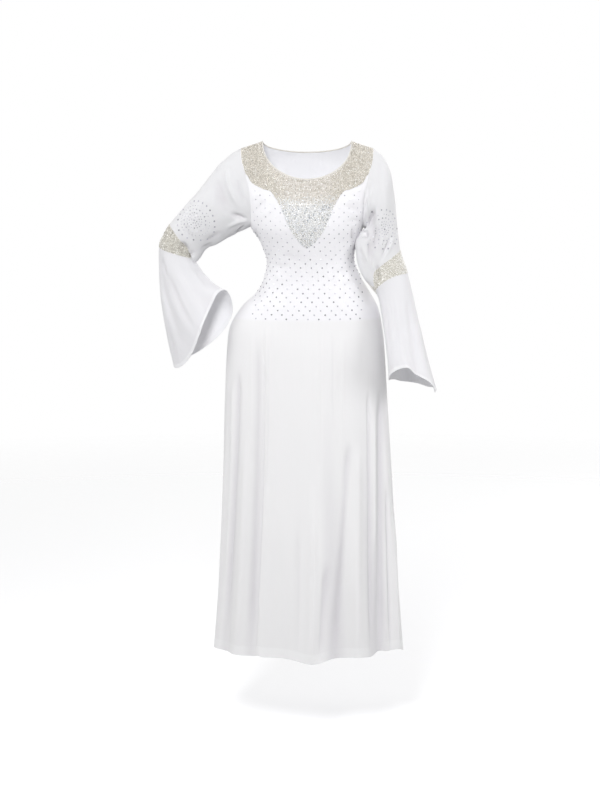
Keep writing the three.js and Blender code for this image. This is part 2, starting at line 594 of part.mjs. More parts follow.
// The binding round the neck edge, a soft oval section that runs just inside the edge.
function buildBinding(front, back, material) {
  const edge = (grid) => {
    const last = grid.points[0].length - 1;
    const first = Math.round(SHOULDER_SHARE * last);
    const list = [];
    for (let i = first; i <= last - first; i += 1) {
      const into = new THREE.Vector3().subVectors(grid.points[0][i], grid.points[1][i]).normalize();
      list.push({ point: grid.points[0][i].clone(), into, normal: grid.normals[0][i].clone() });
    }
    return list;
  };
  const ahead = edge(front);
  const behind = edge(back).reverse().slice(1, -1);
  const centre = new THREE.Vector3(0, 0, NECK_TOP + 40);
  const loop = [...ahead, ...behind];
  const rings = loop.map((stop, i) => {
    const before = loop.at(i - 1).point;
    const after = loop[(i + 1) % loop.length].point;
    const along = new THREE.Vector3().subVectors(after, before).normalize();
    const into = new THREE.Vector3().subVectors(centre, stop.point);
    const blended = into.normalize().multiplyScalar(NECK_LEAN).add(stop.into);
    blended.addScaledVector(along, -blended.dot(along)).normalize();
    const normal = new THREE.Vector3().crossVectors(along, blended).normalize();
    const middle = stop.point.clone().addScaledVector(blended, BINDING.gap + BINDING.width / 2);
    return Array.from({ length: BINDING.sides }, (_, k) => {
      const turn = (FULL_TURN * (k + 0.5)) / BINDING.sides;
      const square = (value) => Math.sign(value) * Math.abs(value) ** 0.7;
      return middle
        .clone()
        .addScaledVector(blended, (square(Math.cos(turn)) * BINDING.width) / 2)
        .addScaledVector(normal, (square(Math.sin(turn)) * BINDING.thick) / 2);
    });
  });
  const positions = rings.flat().flatMap((p) => [p.x, p.y, p.z]);
  const index = [];
  rings.forEach((_, j) => {
    const next = (j + 1) % rings.length;
    for (let i = 0; i < BINDING.sides; i += 1) {
      const k = (i + 1) % BINDING.sides;
      const [a, b] = [j * BINDING.sides + i, j * BINDING.sides + k];
      const [c, d] = [next * BINDING.sides + k, next * BINDING.sides + i];
      index.push(a, b, c, a, c, d);
    }
  });
  const geometry = new THREE.BufferGeometry();
  geometry.setAttribute("position", new THREE.Float32BufferAttribute(positions, 3));
  geometry.setIndex(index);
  if (signedVolume(geometry) < 0) geometry.setIndex(index.reverse());
  geometry.computeVertexNormals();
  const mesh = new THREE.Mesh(geometry, material);
  mesh.name = "neck_binding";
  return mesh;
}

const crepe = new THREE.MeshStandardMaterial({ color: 0xf4f4f6, roughness: 0.85, metalness: 0 });
const champagne = new THREE.MeshStandardMaterial({ color: 0xd9d4c4, roughness: 0.35, metalness: 0.4 });

const front = panelGrid(-1, FRONT_COLUMNS);
const back = panelGrid(1, BACK_COLUMNS);
back.normals.forEach((line) => line.forEach((n) => n.negate()));

const sleeveMaterials = [crepe, champagne, crepe];
const sleeveNames = (arm) => ["upper", "band", "bell"].map((piece) => `sleeve_${arm}_${piece}`);
const right = { table: RIGHT_ARM, folds: RIGHT_FOLDS, hem: RIGHT_REACH, shifts: [], side: -1 };
const left = { table: LEFT_ARM, folds: LEFT_FOLDS, hem: LEFT_REACH, shifts: EDGE_SHIFTS, side: 1 };
const rightArm = buildArm(sleeveNames("r"), right, front, back, sleeveMaterials);
const leftArm = buildArm(sleeveNames("l"), left, front, back, sleeveMaterials);
const [frontPiece, backPiece] = sewBody(front, back, [rightArm, leftArm]);

const kaftan = new THREE.Group();
kaftan.add(
  wallMesh("front", frontPiece.points, frontPiece.inward, false, crepe),
  wallMesh("back", backPiece.points, backPiece.inward, false, crepe),
  buildYoke(champagne),
  buildBinding(front, back, crepe),
  ...rightArm.meshes,
  ...leftArm.meshes,
);

export default kaftan;
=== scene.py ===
"""A long white kaftan as it hangs on a wearer whose right hand is on the hip and whose left arm hangs.

Tables are in millimetres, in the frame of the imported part. Every cloth piece is a fine thin shell on the same
surface as its solid, with its creases, hems and seams worked in, and the stones and stitches are joined meshes."""

import math

import bpy
import numpy as np
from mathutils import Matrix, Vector
from mathutils.bvhtree import BVHTree


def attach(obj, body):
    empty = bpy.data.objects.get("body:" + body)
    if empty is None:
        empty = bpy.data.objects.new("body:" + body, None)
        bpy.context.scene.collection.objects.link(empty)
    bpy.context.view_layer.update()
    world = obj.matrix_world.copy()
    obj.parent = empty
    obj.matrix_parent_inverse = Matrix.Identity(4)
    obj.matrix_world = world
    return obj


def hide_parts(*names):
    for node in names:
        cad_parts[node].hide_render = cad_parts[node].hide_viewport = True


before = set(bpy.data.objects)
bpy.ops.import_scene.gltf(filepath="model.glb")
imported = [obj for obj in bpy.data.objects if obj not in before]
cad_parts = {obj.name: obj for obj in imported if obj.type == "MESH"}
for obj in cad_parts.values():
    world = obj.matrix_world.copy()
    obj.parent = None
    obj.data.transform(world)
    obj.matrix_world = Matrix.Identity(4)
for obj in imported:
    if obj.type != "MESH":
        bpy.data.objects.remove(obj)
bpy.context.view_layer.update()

MM = 0.001
TAU = 2 * math.pi

# --- Sizes shared with the solids ---
NECK_HALF, NECK_TOP = 112, 5
SHOULDER_FALL, SHOULDER_ROUND = 0.33, 78
NECK_LOW = {-1: -87, 1: -24}
ARMPIT, HEM, LEVEL_BY = -205, -1258, 300
ARMHOLE_ROWS = 13
LOWER_ROWS = [
    -222, -240, -259, -279, -299, -320, -342, -366, -394, -428, -470, -530, -615, -720, -840, -975, -1115, HEM,
]
ROWS = ARMHOLE_ROWS + len(LOWER_ROWS)
SHOULDER_SHARE = 0.14
YOKE_INSET, YOKE_START = 0.006, 0.05


def table(names, rows):
    return {name: [row[i] for row in rows] for i, name in enumerate(names.split())}


BODY = table("z half shift front back", [
    (30, 210, 0, 40, 40), (-14, 200, 0, 62, 60), (-50, 191, 0, 76, 72), (-85, 180, 0, 86, 80),
    (-120, 168, 0, 102, 84), (-160, 154, 0, 114, 83), (-205, 140, 0, 117, 80), (-245, 119, 4, 108, 76),
    (-290, 109, 9, 97, 76), (-330, 121, 14, 96, 85), (-365, 139, 16, 102, 96), (-403, 169, 7, 111, 110),
    (-450, 189, -2, 119, 122), (-500, 196, -3, 126, 130), (-646, 204, -2, 141, 143), (-800, 211, 1, 156, 156),
    (-970, 219, 3, 174, 169), (-1116, 227, 5, 189, 182), (-1290, 240, 5, 206, 196),
])
ARMHOLE = table("t x z", [
    (0, 166, -13), (0.17, 162, -45), (0.34, 151, -78), (0.5, 143, -113), (0.66, 139, -150), (0.81, 138.5, -181),
    (0.92, 139, -198), (1, 140, ARMPIT),
])
SKIRT_FOLDS = table("top hem broad out start", [
    (-0.3, -0.47, 0.17, 7, -470), (-0.46, -0.66, 0.11, -9, -430), (-0.75, -0.88, 0.12, 5, -480),
    (-0.92, -1.06, 0.11, -6, -450), (-1.3, -1.3, 0.15, 6, -520), (0.05, 0.04, 0.15, 10, -640),
    (0.24, 0.26, 0.14, -12, -560), (0.42, 0.53, 0.13, 9, -560), (0.72, 0.84, 0.17, -13, -520),
    (1.2, 1.24, 0.18, 7, -560), (1.75, 1.8, 0.16, -8, -560), (2.2, 2.25, 0.2, 9, -600),
    (2.6, 2.66, 0.17, -9, -620), (3.1, 3.08, 0.2, 9, -640), (-2.75, -2.78, 0.17, -9, -600),
    (-2.35, -2.36, 0.19, 8, -620), (-1.85, -1.88, 0.17, -8, -560),
])
HEM_WAVES = table("at broad up", [
    (0.04, 0.2, -9), (0.42, 0.3, 4), (0.8, 0.2, -5), (1.1, 0.16, 6), (1.57, 0.3, -15), (-0.35, 0.25, 6),
    (3.1, 0.9, -6), (0.88, 0.09, 9), (-0.56, 0.05, 3),
])
YOKE_EDGE = table("x z", [
    (0, -253), (14, -243), (42, -206), (66, -150), (88, -116), (108, -109), (137, -93), (147, -76), (170, -66),
])
ARM_COLUMNS = "s outer_x outer_y outer_z inner_x inner_y inner_z half turn"
RIGHT_ARM = table(ARM_COLUMNS, [
    (0, -166, 0, -13, -140, 0, -205, 56, 0), (0.13, -189, 1, -27, -154, 2, -212, 57, 0),
    (0.32, -221, 4, -56, -180, 6, -225, 54, 0), (0.52, -258, 10, -101, -212, 12, -240, 50, 2),
    (0.72, -294, 18, -143, -246, 20, -256, 46, 4), (0.88, -322, 26, -175, -269, 24, -270, 43, 5),
    (1, -342, 32, -199, -283, 27, -274, 41, 6), (1.5, -359, 36, -228, -285, 28, -279, 41, 8),
    (2, -370, 38, -258, -284, 28, -285, 41, 8), (2.2, -370, 34, -325, -263, 18, -315, 42, 8),
    (2.4, -366, 28, -383, -248, 8, -331, 43, 9), (2.6, -358, 21, -441, -234, -4, -344, 45, 10),
    (2.8, -347, 13, -499, -219, -16, -353, 46, 10), (3, -333, 5, -556, -202, -28, -361, 47, 10),
])
LEFT_ARM = table(ARM_COLUMNS, [
    (0, 166, 0, -13, 140, 0, -205, 56, 0), (0.13, 188, -1, -32, 147, -2, -217, 60, 0),
    (0.32, 206, -4, -72, 142, -14, -234, 60, 0), (0.52, 216, -8, -125, 130, -28, -256, 56, 0),
    (0.72, 221, -13, -178, 126, -38, -283, 50, 0), (0.88, 226, -18, -226, 132, -44, -308, 46, 0),
    (1, 231, -22, -262, 141, -47, -327, 44, 0), (1.5, 240, -28, -290, 159, -52, -353, 43, 0),
    (2, 249, -34, -318, 176, -57, -378, 43, 0), (2.2, 262, -40, -372, 183, -66, -418, 48, 0),
    (2.4, 275, -46, -429, 189, -74, -458, 56, 0), (2.6, 289, -51, -487, 194, -82, -498, 66, 0),
    (2.8, 304, -56, -545, 198, -90, -538, 77, 0), (3, 321, -60, -602, 201, -97, -578, 88, 0),
])
FOLD_COLUMNS = "s round long broad slant out"
RIGHT_FOLDS = table(FOLD_COLUMNS, [
    (0.96, 3.1, 0.13, 0.55, 0, 13), (2.45, 0.75, 0.4, 0.3, 0.5, -6), (2.75, 1.5, 0.5, 0.35, 0.4, 6),
    (3, 2.2, 0.5, 0.3, 0.2, -5), (3, 4.1, 0.45, 0.35, 0, 9), (3, 5, 0.5, 0.35, 0, -8),
])
LEFT_FOLDS = table(FOLD_COLUMNS, [
    (0.33, 2.2, 0.25, 0.32, -0.9, -10), (0.3, 2.9, 0.22, 0.3, -0.6, 7), (0.85, 2.75, 0.4, 0.3, 0, 6),
    (0.95, 2.05, 0.4, 0.24, 0, -6), (3, 0.9, 0.6, 0.32, 0, 9), (3, 1.7, 0.5, 0.34, 0, -8),
    (0.42, 3.14, 0.2, 0.6, 0, 13), (0.16, 3.1, 0.1, 0.5, 0, 15), (3, 2.6, 0.6, 0.34, 0, 8),
    (3, 3.7, 0.5, 0.36, 0, -8), (3, 4.7, 0.5, 0.36, 0, 9), (3, 5.6, 0.5, 0.34, 0, -7),
])
# A bell's reach past the line between its outline ends: (past, outer) for front and back, and its growth.
RIGHT_REACH = {-1: (15, 15), 1: (44, -10), "grow": 1.6}
LEFT_REACH = {-1: (-40, 18), 1: (6, 0), "grow": 2}
ARMHOLE_FADE = 0.38
# Where the left band's edges leave their stations: the sleeve's folds hang over it, and its lower edge runs higher.
EDGE_SHIFTS = table("edge round broad shift before after", [
    (1, 2.62, 0.3, 0.5, 0.6, 1), (2, 1.9, 0.9, -0.4, 1, 0.8), (2, 2.6, 0.35, -0.12, 1, 0.8),
])

# --- Finer folds, only in the cloth itself ---
# The skirt's crisper folds at its sides and back, by their place round the body.
CRISP_FOLDS = table("top hem broad out start end", [
    (-1.3, -1.34, 0.05, 2.2, -600, HEM), (-1.12, -1.16, 0.06, -2.4, -640, HEM), (1.18, 1.2, 0.05, 2.0, -620, HEM),
    (1.4, 1.45, 0.06, -2.6, -600, -1180), (1.95, 2.02, 0.05, 2.6, -640, HEM), (2.2, 2.26, 0.05, -2.2, -560, HEM),
    (2.42, 2.46, 0.06, 2.4, -700, HEM), (2.86, 2.88, 0.05, 2.8, -620, -1190), (-2.95, -2.98, 0.06, -2.4, -760, HEM),
    (-2.7, -2.72, 0.05, 2.4, -560, HEM), (-2.45, -2.46, 0.06, -2.4, -640, HEM), (-2.1, -2.12, 0.06, 2.4, -620, HEM),
    (-1.8, -1.84, 0.05, -2.0, -700, -1150), (-1.6, -1.62, 0.05, 2.0, -700, HEM),
])
# Creases as strokes seen from one side: start, middle and end in x and z, half breadth and height.
# A lap has one side raised and the other sunk, so that the cloth seems folded over itself.
STROKE_COLUMNS = "x0 z0 x1 z1 x2 z2 broad out lap"
FRONT_STROKES = table(STROKE_COLUMNS, [
    # sides and bust
    (-130, -206, -119, -250, -104, -296, 4.5, -5, 0), (-112, -214, -104, -250, -92, -290, 8, 2, 0),
    (-131, -191, -108, -170, -81, -155, 8, 1.6, 0), (-133, -171, -115, -148, -96, -136, 6, -1.4, 0),
    (-140, -149, -125, -126, -110, -116, 6, 1.2, 0), (115, -196, 113, -225, 113, -253, 5, -4, 0),
    (132, -171, 110, -155, 85, -150, 6, -1.8, 0), (135, -151, 115, -136, 95, -133, 6, 1.6, 0),
    (144, -98, 129, -97, 115, -104, 3.4, -1.6, 0), (144, -110, 129, -112, 110, -119, 3.4, 1.4, 0),
    (131, -196, 116, -186, 92, -190, 5, -1.6, 0), (-62, -262, -40, -274, -8, -276, 9, -0.8, 0),
    # waist
    (-94, -292, -64, -298, -24, -298, 8, -1.1, 0), (-92, -314, -66, -326, -34, -330, 9, 1.0, 0),
    (118, -300, 92, -310, 56, -312, 8, -1.2, 0), (116, -322, 92, -334, 62, -338, 9, 1.0, 0),
    (-100, -340, -116, -372, -144, -404, 7, -1.2, 0), (128, -346, 146, -376, 164, -404, 7, -1.4, 0),
    # skirt, from its left side in the picture to its right
    (-185, -581, -189, -780, -207, -1133, 4, 2.6, 0), (-171, -550, -176, -778, -203, -1240, 6, -5, 0),
    (-153, -700, -158, -972, -181, -1300, 9, 3, 0), (-136, -459, -138, -625, -143, -921, 3.6, 1.6, 0),
    (-121, -466, -123, -797, -143, -1290, 8, -3.6, 0), (-105, -441, -105, -795, -128, -1300, 3.4, 2.8, 1),
    (-59, -866, -57, -1061, -62, -1300, 14, 1.6, 0), (-25, -914, -20, -1084, -25, -1300, 9, -1.8, 0),
    (14, -865, 17, -1084, 8, -1310, 6, 4.8, 0), (49, -1013, 39, -1134, 29, -1310, 8, -4.5, 0),
    (34, -439, 34, -622, 32, -866, 4, 1.0, 0), (63, -440, 63, -573, 63, -720, 4, -1.0, 0),
    (88, -440, 88, -623, 86, -769, 3.6, 1.4, 0), (103, -721, 88, -916, 60, -1310, 9, -5, 0),
    (125, -723, 123, -967, 123, -1310, 10, 4.8, 0), (151, -602, 153, -824, 158, -1290, 4, -4.4, 0),
    (165, -628, 167, -825, 168, -1024, 3.6, 2.8, 0), (183, -594, 183, -877, 179, -1310, 9, -8, 0),
    (199, -831, 203, -1029, 210, -1300, 3.2, -5, 0), (216, -889, 221, -1108, 229, -1310, 6, 4.4, 0),
])
BACK_STROKES = table(STROKE_COLUMNS, [
    (-132, -200, -104, -222, -70, -236, 9, -2.2, 0), (132, -202, 100, -226, 64, -240, 9, -2.2, 0),
    (-128, -190, -92, -198, -50, -206, 8, 1.5, 0), (126, -188, 94, -196, 58, -204, 8, 1.5, 0),
    (-90, -288, -54, -300, -16, -296, 8, -2, 0), (100, -292, 60, -305, 20, -302, 8, -2, 0),
    (-94, -306, -64, -320, -30, -318, 9, 1.6, 0), (108, -312, 72, -326, 34, -322, 9, 1.6, 0),
    (-104, -334, -74, -350, -40, -346, 9, -1.5, 0), (122, -336, 88, -352, 52, -350, 9, -1.5, 0),
    (-98, -352, -70, -366, -44, -364, 8, 1.1, 0), (116, -356, 90, -368, 60, -368, 8, 1.1, 0),
    (-150, -92, -136, -124, -120, -160, 8, -1.8, 0), (150, -92, 136, -124, 122, -158, 8, -1.7, 0),
    (-118, -120, -80, -140, -40, -150, 12, 1.1, 0), (112, -118, 72, -140, 30, -152, 12, 1.1, 0),
    (-60, -36, -52, -76, -40, -110, 12, -0.9, 0), (58, -38, 52, -74, 42, -108, 12, -0.9, 0),
    (-112, -440, -118, -760, -132, -1300, 3.4, 2.4, 1), (86, -450, 92, -800, 104, -1300, 3.4, -2.4, 1),
    (-40, -700, -44, -960, -52, -1300, 9, -4, 0), (12, -760, 8, -1000, 4, -1310, 7, 4, 0),
    (60, -820, 66, -1040, 70, -1300, 9, -4, 0), (150, -640, 160, -900, 172, -1300, 8, -5, 0),
    (-160, -620, -170, -880, -182, -1300, 8, -4.6, 0), (-88, -760, -90, -980, -96, -1300, 7, 3.4, 0),
    (128, -720, 136, -960, 142, -1300, 6, 3.6, 0), (192, -800, 200, -1000, 208, -1300, 4, 3, 0),
])
SLEEVE_STROKES = {
    "r": table(STROKE_COLUMNS, [
        # upper sleeve: the ridge from the shoulder to the armpit, the pocket under it and the rolled lower edge
        (-193, -40, -192, -103, -150, -176, 7, 5, 0), (-222, -69, -212, -127, -182, -184, 15, -5.5, 0),
        (-172, -78, -165, -117, -148, -154, 6, -3, 0), (-190, -169, -168, -179, -146, -186, 5.5, -7.5, 0),
        (-205, -214, -175, -194, -141, -189, 4.5, 3.8, 0), (-182, -226, -166, -212, -151, -199, 3.5, -4, 0),
        (-255, -264, -227, -246, -191, -228, 4, 2.8, 0), (-258, -245, -233, -232, -210, -212, 7, -3, 0),
        (-266, -260, -249, -253, -231, -246, 3.4, -2.8, 0), (-258, -85, -276, -115, -291, -137, 7, -1.8, 0),
        (-235, -55, -210, -59, -182, -74, 9, 1.6, 0), (-300, -175, -286, -208, -268, -240, 6, 1.6, 0),
        (-312, -186, -298, -216, -282, -246, 5, -1.8, 0),
        # the dark hollow at the band's inner end
        (-318, -240, -303, -257, -288, -270, 8, -9, 0), (-292, -262, -286, -268, -280, -274, 5, -6, 0),
        # bell
        (-351, -308, -320, -385, -268, -480, 9, -5, 0), (-335, -292, -295, -365, -252, -438, 10, 3.2, 0),
        (-360, -278, -356, -308, -346, -342, 4, -2.8, 0), (-362, -351, -347, -417, -318, -508, 8, 2.6, 0),
        (-294, -297, -271, -325, -230, -370, 6, -2.2, 0), (-307, -287, -286, -312, -252, -355, 5, 2.2, 0),
        (-352, -440, -336, -500, -322, -570, 6, -2.2, 0), (-280, -440, -262, -470, -246, -496, 5, -2, 0),
    ]),
    "l": table(STROKE_COLUMNS, [
        # upper sleeve: the tongue at the armpit, the dark fold beside it and the long folds down to the elbow
        (159, -83, 152, -146, 136, -208, 7, 5.5, 0), (165, -146, 157, -186, 139, -217, 4, -8, 0),
        (148, -134, 142, -156, 140, -180, 5, -4.4, 0), (139, -211, 142, -220, 147, -232, 5.5, -8, 0),
        (147, -230, 153, -259, 158, -290, 4, -5.4, 0), (133, -236, 142, -269, 159, -310, 4, 3.8, 0),
        (128, -251, 135, -278, 149, -306, 3.4, -3, 0), (159, -273, 167, -308, 175, -344, 4, 3.2, 0),
        (172, -288, 174, -314, 178, -346, 3.4, -4.4, 0), (206, -220, 196, -251, 172, -300, 3.2, -5.4, 0),
        (214, -216, 204, -249, 181, -290, 5, 3.2, 0), (172, -192, 166, -232, 164, -275, 9, -7, 0),
        (189, -197, 184, -234, 171, -270, 5, 2.4, 0), (188, -35, 199, -69, 204, -113, 8, 1.8, 0),
        (172, -30, 177, -69, 174, -117, 7, -2, 0), (191, -112, 194, -146, 194, -176, 7, 1.6, 0),
        (176, -302, 176, -322, 179, -341, 3.4, -3.2, 0), (222, -262, 226, -290, 236, -318, 6, 1.4, 0),
        # bell
        (220, -360, 227, -451, 244, -590, 8, 3, 0), (246, -366, 254, -452, 272, -600, 7, -3, 0),
        (189, -380, 198, -464, 204, -580, 6, -2.4, 0), (206, -370, 210, -451, 219, -590, 4, 1.8, 0),
        (265, -430, 279, -501, 304, -620, 8, 2.8, 0), (258, -566, 272, -585, 281, -604, 5, -2.8, 0),
    ]),
}
# Folds on the hidden sides of the sleeves, by station and place round the sleeve.
SLEEVE_CREASES = {
    "r": table(FOLD_COLUMNS, [
        (0.6, 3.6, 0.4, 0.2, -0.6, -3), (0.85, 3.35, 0.14, 0.2, 0.8, 2.6), (1.5, 3.6, 0.4, 0.16, 0.3, -3),
        (2.3, 4.2, 0.4, 0.12, 0.2, -3), (2.6, 5.4, 0.4, 0.1, 0.1, 2.6), (0.4, 5.0, 0.3, 0.14, -0.7, -2.4),
        (0.15, 4.3, 0.15, 0.12, -1.5, 2.4), (0.7, 4.4, 0.3, 0.16, 0.6, 2.6), (0.9, 4.1, 0.16, 0.12, 0.9, -2.6),
        (0.3, 5.6, 0.3, 0.2, 0.2, 1.8), (2.5, 4.8, 0.4, 0.12, 0.1, -2.2), (2.7, 3.6, 0.3, 0.1, 0, 2),
    ]),
    "l": table(FOLD_COLUMNS, [
        (0.5, 3.7, 0.4, 0.16, 0.3, -3), (0.9, 4.2, 0.4, 0.16, 0.2, 2.8), (1.3, 3.9, 0.4, 0.13, 0, -3),
        (2.5, 3.4, 0.4, 0.1, 0, -2.4), (2.6, 4.2, 0.4, 0.1, 0, 2.6), (2.6, 5.2, 0.4, 0.1, 0, -2.6),
        (0.15, 4.2, 0.15, 0.12, -1.5, 2.4), (0.45, 4.7, 0.3, 0.16, 0.4, -2.4), (0.8, 5.3, 0.3, 0.2, 0.2, 2),
        (2.3, 5.8, 0.4, 0.12, 0.1, 1.8), (2.8, 4.7, 0.3, 0.08, 0, 1.8),
    ]),
}
HEM_TURN = 24.0  # depth of the skirt's turned hem
BELL_TURN = 9.0  # depth of the bells' turned hems
# The fold depth at which the painted shade in a fold's bottom is full.
FOLD_SHADE = 7.0  # depth of a fold at which its bottom has its full shade
CREASE_GAIN = 1.2  # how much higher each stroke is than its row says
SEAM_BROAD = 1.8  # half breadth of the dip beside a seam


# --- Curves and surfaces ---
def curve(rows, key, value):
    """A smooth curve through one column of a table, as a function of another."""
    at, to = (np.array(rows[n], float) for n in (key, value))
    order = np.argsort(at)
    at, to = at[order], to[order]
    k = np.arange(len(at))
    a, b = np.maximum(k - 1, 0), np.minimum(k + 1, len(at) - 1)
    slope = (to[b] - to[a]) / (at[b] - at[a])

    def value_at(x):
        p = np.clip(np.asarray(x, float), at[0], at[-1])
        i = np.clip(np.searchsorted(at, p, side="left") - 1, 0, len(at) - 2)
        step = at[i + 1] - at[i]
        t = (p - at[i]) / step
        t2, t3 = t * t, t * t * t
        return ((2 * t3 - 3 * t2 + 1) * to[i] + (t3 - 2 * t2 + t) * step * slope[i]
                + (3 * t2 - 2 * t3) * to[i + 1] + (t3 - t2) * step * slope[i + 1])

    return value_at


def curves(rows, key):
    return {name: curve(rows, key, name) for name in rows if name != key}


body = curves(BODY, "z")
armhole = curves(ARMHOLE, "t")
yoke_edge = curve(YOKE_EDGE, "x", "z")


def ease(x, a, b):
    t = np.clip((np.asarray(x, float) - a) / (b - a), 0, 1)
    return t * t * (3 - 2 * t)


def bell(offset, broad):
    return np.exp(-((offset / broad) ** 2))


def turn_from(a, b):
    return (a - b + math.pi) % TAU - math.pi


def rows_of(rows):
    return [dict(zip(rows, values)) for values in zip(*rows.values())]


def unit(vectors):
    return vectors / np.linalg.norm(vectors, axis=-1, keepdims=True)


def fold_out(angle, z):
    out = np.zeros(np.broadcast(angle, z).shape)
    for f in rows_of(SKIRT_FOLDS):
        grown = ease(f["start"] - z, 0, f["start"] - HEM)
        place = f["top"] + (f["hem"] - f["top"]) * grown
        out += f["out"] * grown * bell(turn_from(angle, place), f["broad"] * (0.6 + 0.4 * grown))
    return out


def crisp_out(angle, z):
    """The skirt's finer, crisper folds."""
    out = np.zeros(np.broadcast(angle, z).shape)
    for f in rows_of(CRISP_FOLDS):
        share = np.clip((f["start"] - z) / (f["start"] - HEM), 0, 1)
        grown = ease(f["start"] - z, 0, 260) * (1 - ease(-z, -f["end"] - 90, -f["end"] + 30) * (f["end"] > HEM))
        place = f["top"] + (f["hem"] - f["top"]) * share
        out += f["out"] * grown * bell(turn_from(angle, place), f["broad"])
    return out


def hem_rise(angle):
    return sum(w["up"] * bell(turn_from(angle, w["at"]), w["broad"]) for w in rows_of(HEM_WAVES))


def shoulder_top(x):
    return NECK_TOP - SHOULDER_FALL * (np.abs(x) - NECK_HALF)


def body_point(across, z, face):
    x = body["half"](z) * np.sin(across)
    over = np.clip((shoulder_top(x) - z) / SHOULDER_ROUND, 0, 1)
    deep = body["front" if face < 0 else "back"](z)
    y = face * deep * np.maximum(np.cos(across), 0) ** 0.9 * np.sqrt(1 - (1 - over) ** 2)
    angle = across if face < 0 else math.pi - across
    grow = 1 + fold_out(angle, z) / np.maximum(np.hypot(x, y), 1)
    return np.stack([x * grow + body["shift"](z), y * grow, z], -1)


def row_height(row):
    heights = np.array([ARMPIT] + LOWER_ROWS, float)
    below = np.interp(row, np.arange(ARMHOLE_ROWS, ROWS + 1), heights)
    return np.where(row <= ARMHOLE_ROWS, armhole["z"](np.minimum(row / ARMHOLE_ROWS, 1)), below)


def top_edge(u, face):
    side = np.where(u < 0.5, -1, 1)
    inward = np.minimum(u, 1 - u)
    outer = armhole["x"](0)
    seam_x = outer + (NECK_HALF - outer) * (inward / SHOULDER_SHARE)
    angle = (math.pi / 2) * np.clip((inward - SHOULDER_SHARE) / (0.5 - SHOULDER_SHARE), 0, 1)
    on_seam = inward < SHOULDER_SHARE
    x = side * np.where(on_seam, seam_x, NECK_HALF * np.cos(angle))
    z = np.where(on_seam, shoulder_top(seam_x), NECK_TOP + (NECK_LOW[face] - NECK_TOP) * np.sin(angle))
    return x, z


def panel_point(u, row, face):
    u, row = np.broadcast_arrays(np.asarray(u, float), np.asarray(row, float))
    side_z = row_height(row)
    top_z = armhole["z"](0)
    level = ease(top_z - side_z, 0, LEVEL_BY)
    x, z = top_edge(u, face)
    top_across = np.arcsin(x / body["half"](z))
    top_side = np.arcsin(armhole["x"](0) / body["half"](top_z))
    share = top_across / top_side * (1 - level) + (2 * u - 1) * level
    edge = np.minimum(armhole["x"](np.minimum(row / ARMHOLE_ROWS, 1)) / body["half"](side_z), 1)
    side_across = np.where(row < ARMHOLE_ROWS, np.arcsin(edge), math.pi / 2)
    across = share * side_across
    angle = across if face < 0 else math.pi - across
    down = ease(row, ARMHOLE_ROWS, ROWS)
    height = side_z + (z - top_z) * (1 - level) + hem_rise(angle) * down
    point = body_point(across, height, face)
    point[..., 0] -= body["shift"](height) * (1 - ease(row, ARMHOLE_ROWS - 4, ARMHOLE_ROWS))
    return point, angle


def normals_of(points, closed, away):
    """Unit normals of a grid of points, turned to face away from the grid's own middle line."""
    if closed:
        along = np.roll(points, -1, 1) - np.roll(points, 1, 1)
    else:
        along = np.gradient(points, axis=1)
    down = np.gradient(points, axis=0)
    n = np.cross(down, along)
    size = np.linalg.norm(n, axis=-1, keepdims=True)
    n = n / np.maximum(size, 1e-9)
    return n * (1 if (n * away).sum(-1).mean() > 0 else -1)


def stroke_out(points, normals, strokes, face):
    """How far strokes seen from the front (face -1) or back (face 1) lift the cloth."""
    out = np.zeros(points.shape[:2])
    seen = ease(normals[..., 1] * face, -0.3, 0.05)
    flat = points[..., [0, 2]]
    for c in rows_of(strokes):
        a, m, b = (np.array([c[f"x{k}"], c[f"z{k}"]], float) for k in range(3))
        t = np.linspace(0, 1, 25)[:, None]
        line = (1 - t) ** 2 * a + 2 * t * (1 - t) * (2 * m - (a + b) / 2) + t * t * b
        low, high = line.min(0) - 3 * c["broad"], line.max(0) + 3 * c["broad"]
        near = ((flat > low) & (flat < high)).all(-1) & (seen > 0)
        if not near.any():
            continue
        p = flat[near][:, None]
        start, step = line[None, :-1], np.diff(line, axis=0)[None]
        size = (step ** 2).sum(-1)
        share = np.clip(((p - start) * step).sum(-1) / size, 0, 1)
        away = p - start - step * share[..., None]
        distance = np.hypot(away[..., 0], away[..., 1])
        best = distance.argmin(1)
        pick = np.arange(len(best))
        turned = step[0, best, 0] * away[pick, best, 1] - step[0, best, 1] * away[pick, best, 0]
        off = distance[pick, best] / c["broad"]
        along = (best + share[pick, best]) / (len(line) - 1)
        length = np.sqrt(size).sum()
        tip = min(0.45, 45 / length + 0.12)
        taper = ease(along, 0, tip) * (1 - ease(along, 1 - tip, 1))
        profile = np.exp(-off * off)
        if c["lap"]:
            profile = profile * off * np.sign(turned) * 2
        out[near] += c["out"] * taper * profile
    return out * seen * CREASE_GAIN


def hem_step(distance, turn, lift):
    """The turned hem: a second layer, with a dip where it is stitched."""
    return lift * (1 - ease(distance, turn - 1, turn + 1)) - 0.5 * bell(distance - turn, 1.6)


# --- Materials ---
def new_material(name):
    material = bpy.data.materials.new(name)
    material.use_nodes = True
    nodes, links = material.node_tree.nodes, material.node_tree.links
    shader = nodes["Principled BSDF"]
    return material, nodes, links, shader


def set_inputs(made, **inputs):
    for key, value in inputs.items():
        made.inputs[key.replace("_", " ")].default_value = value
    return made


def node(nodes, kind, **inputs):
    return set_inputs(nodes.new(kind), **inputs)


def textured(nodes, links, kind, vector, **inputs):
    """A texture or mapping node at the coordinates of a socket."""
    made = node(nodes, kind, **inputs)
    links.new(vector, made.inputs["Vector"])
    return made


def axis_of(nodes, links, vector, axis):
    split = nodes.new("ShaderNodeSeparateXYZ")
    links.new(vector, split.inputs["Vector"])
    return split.outputs[axis]


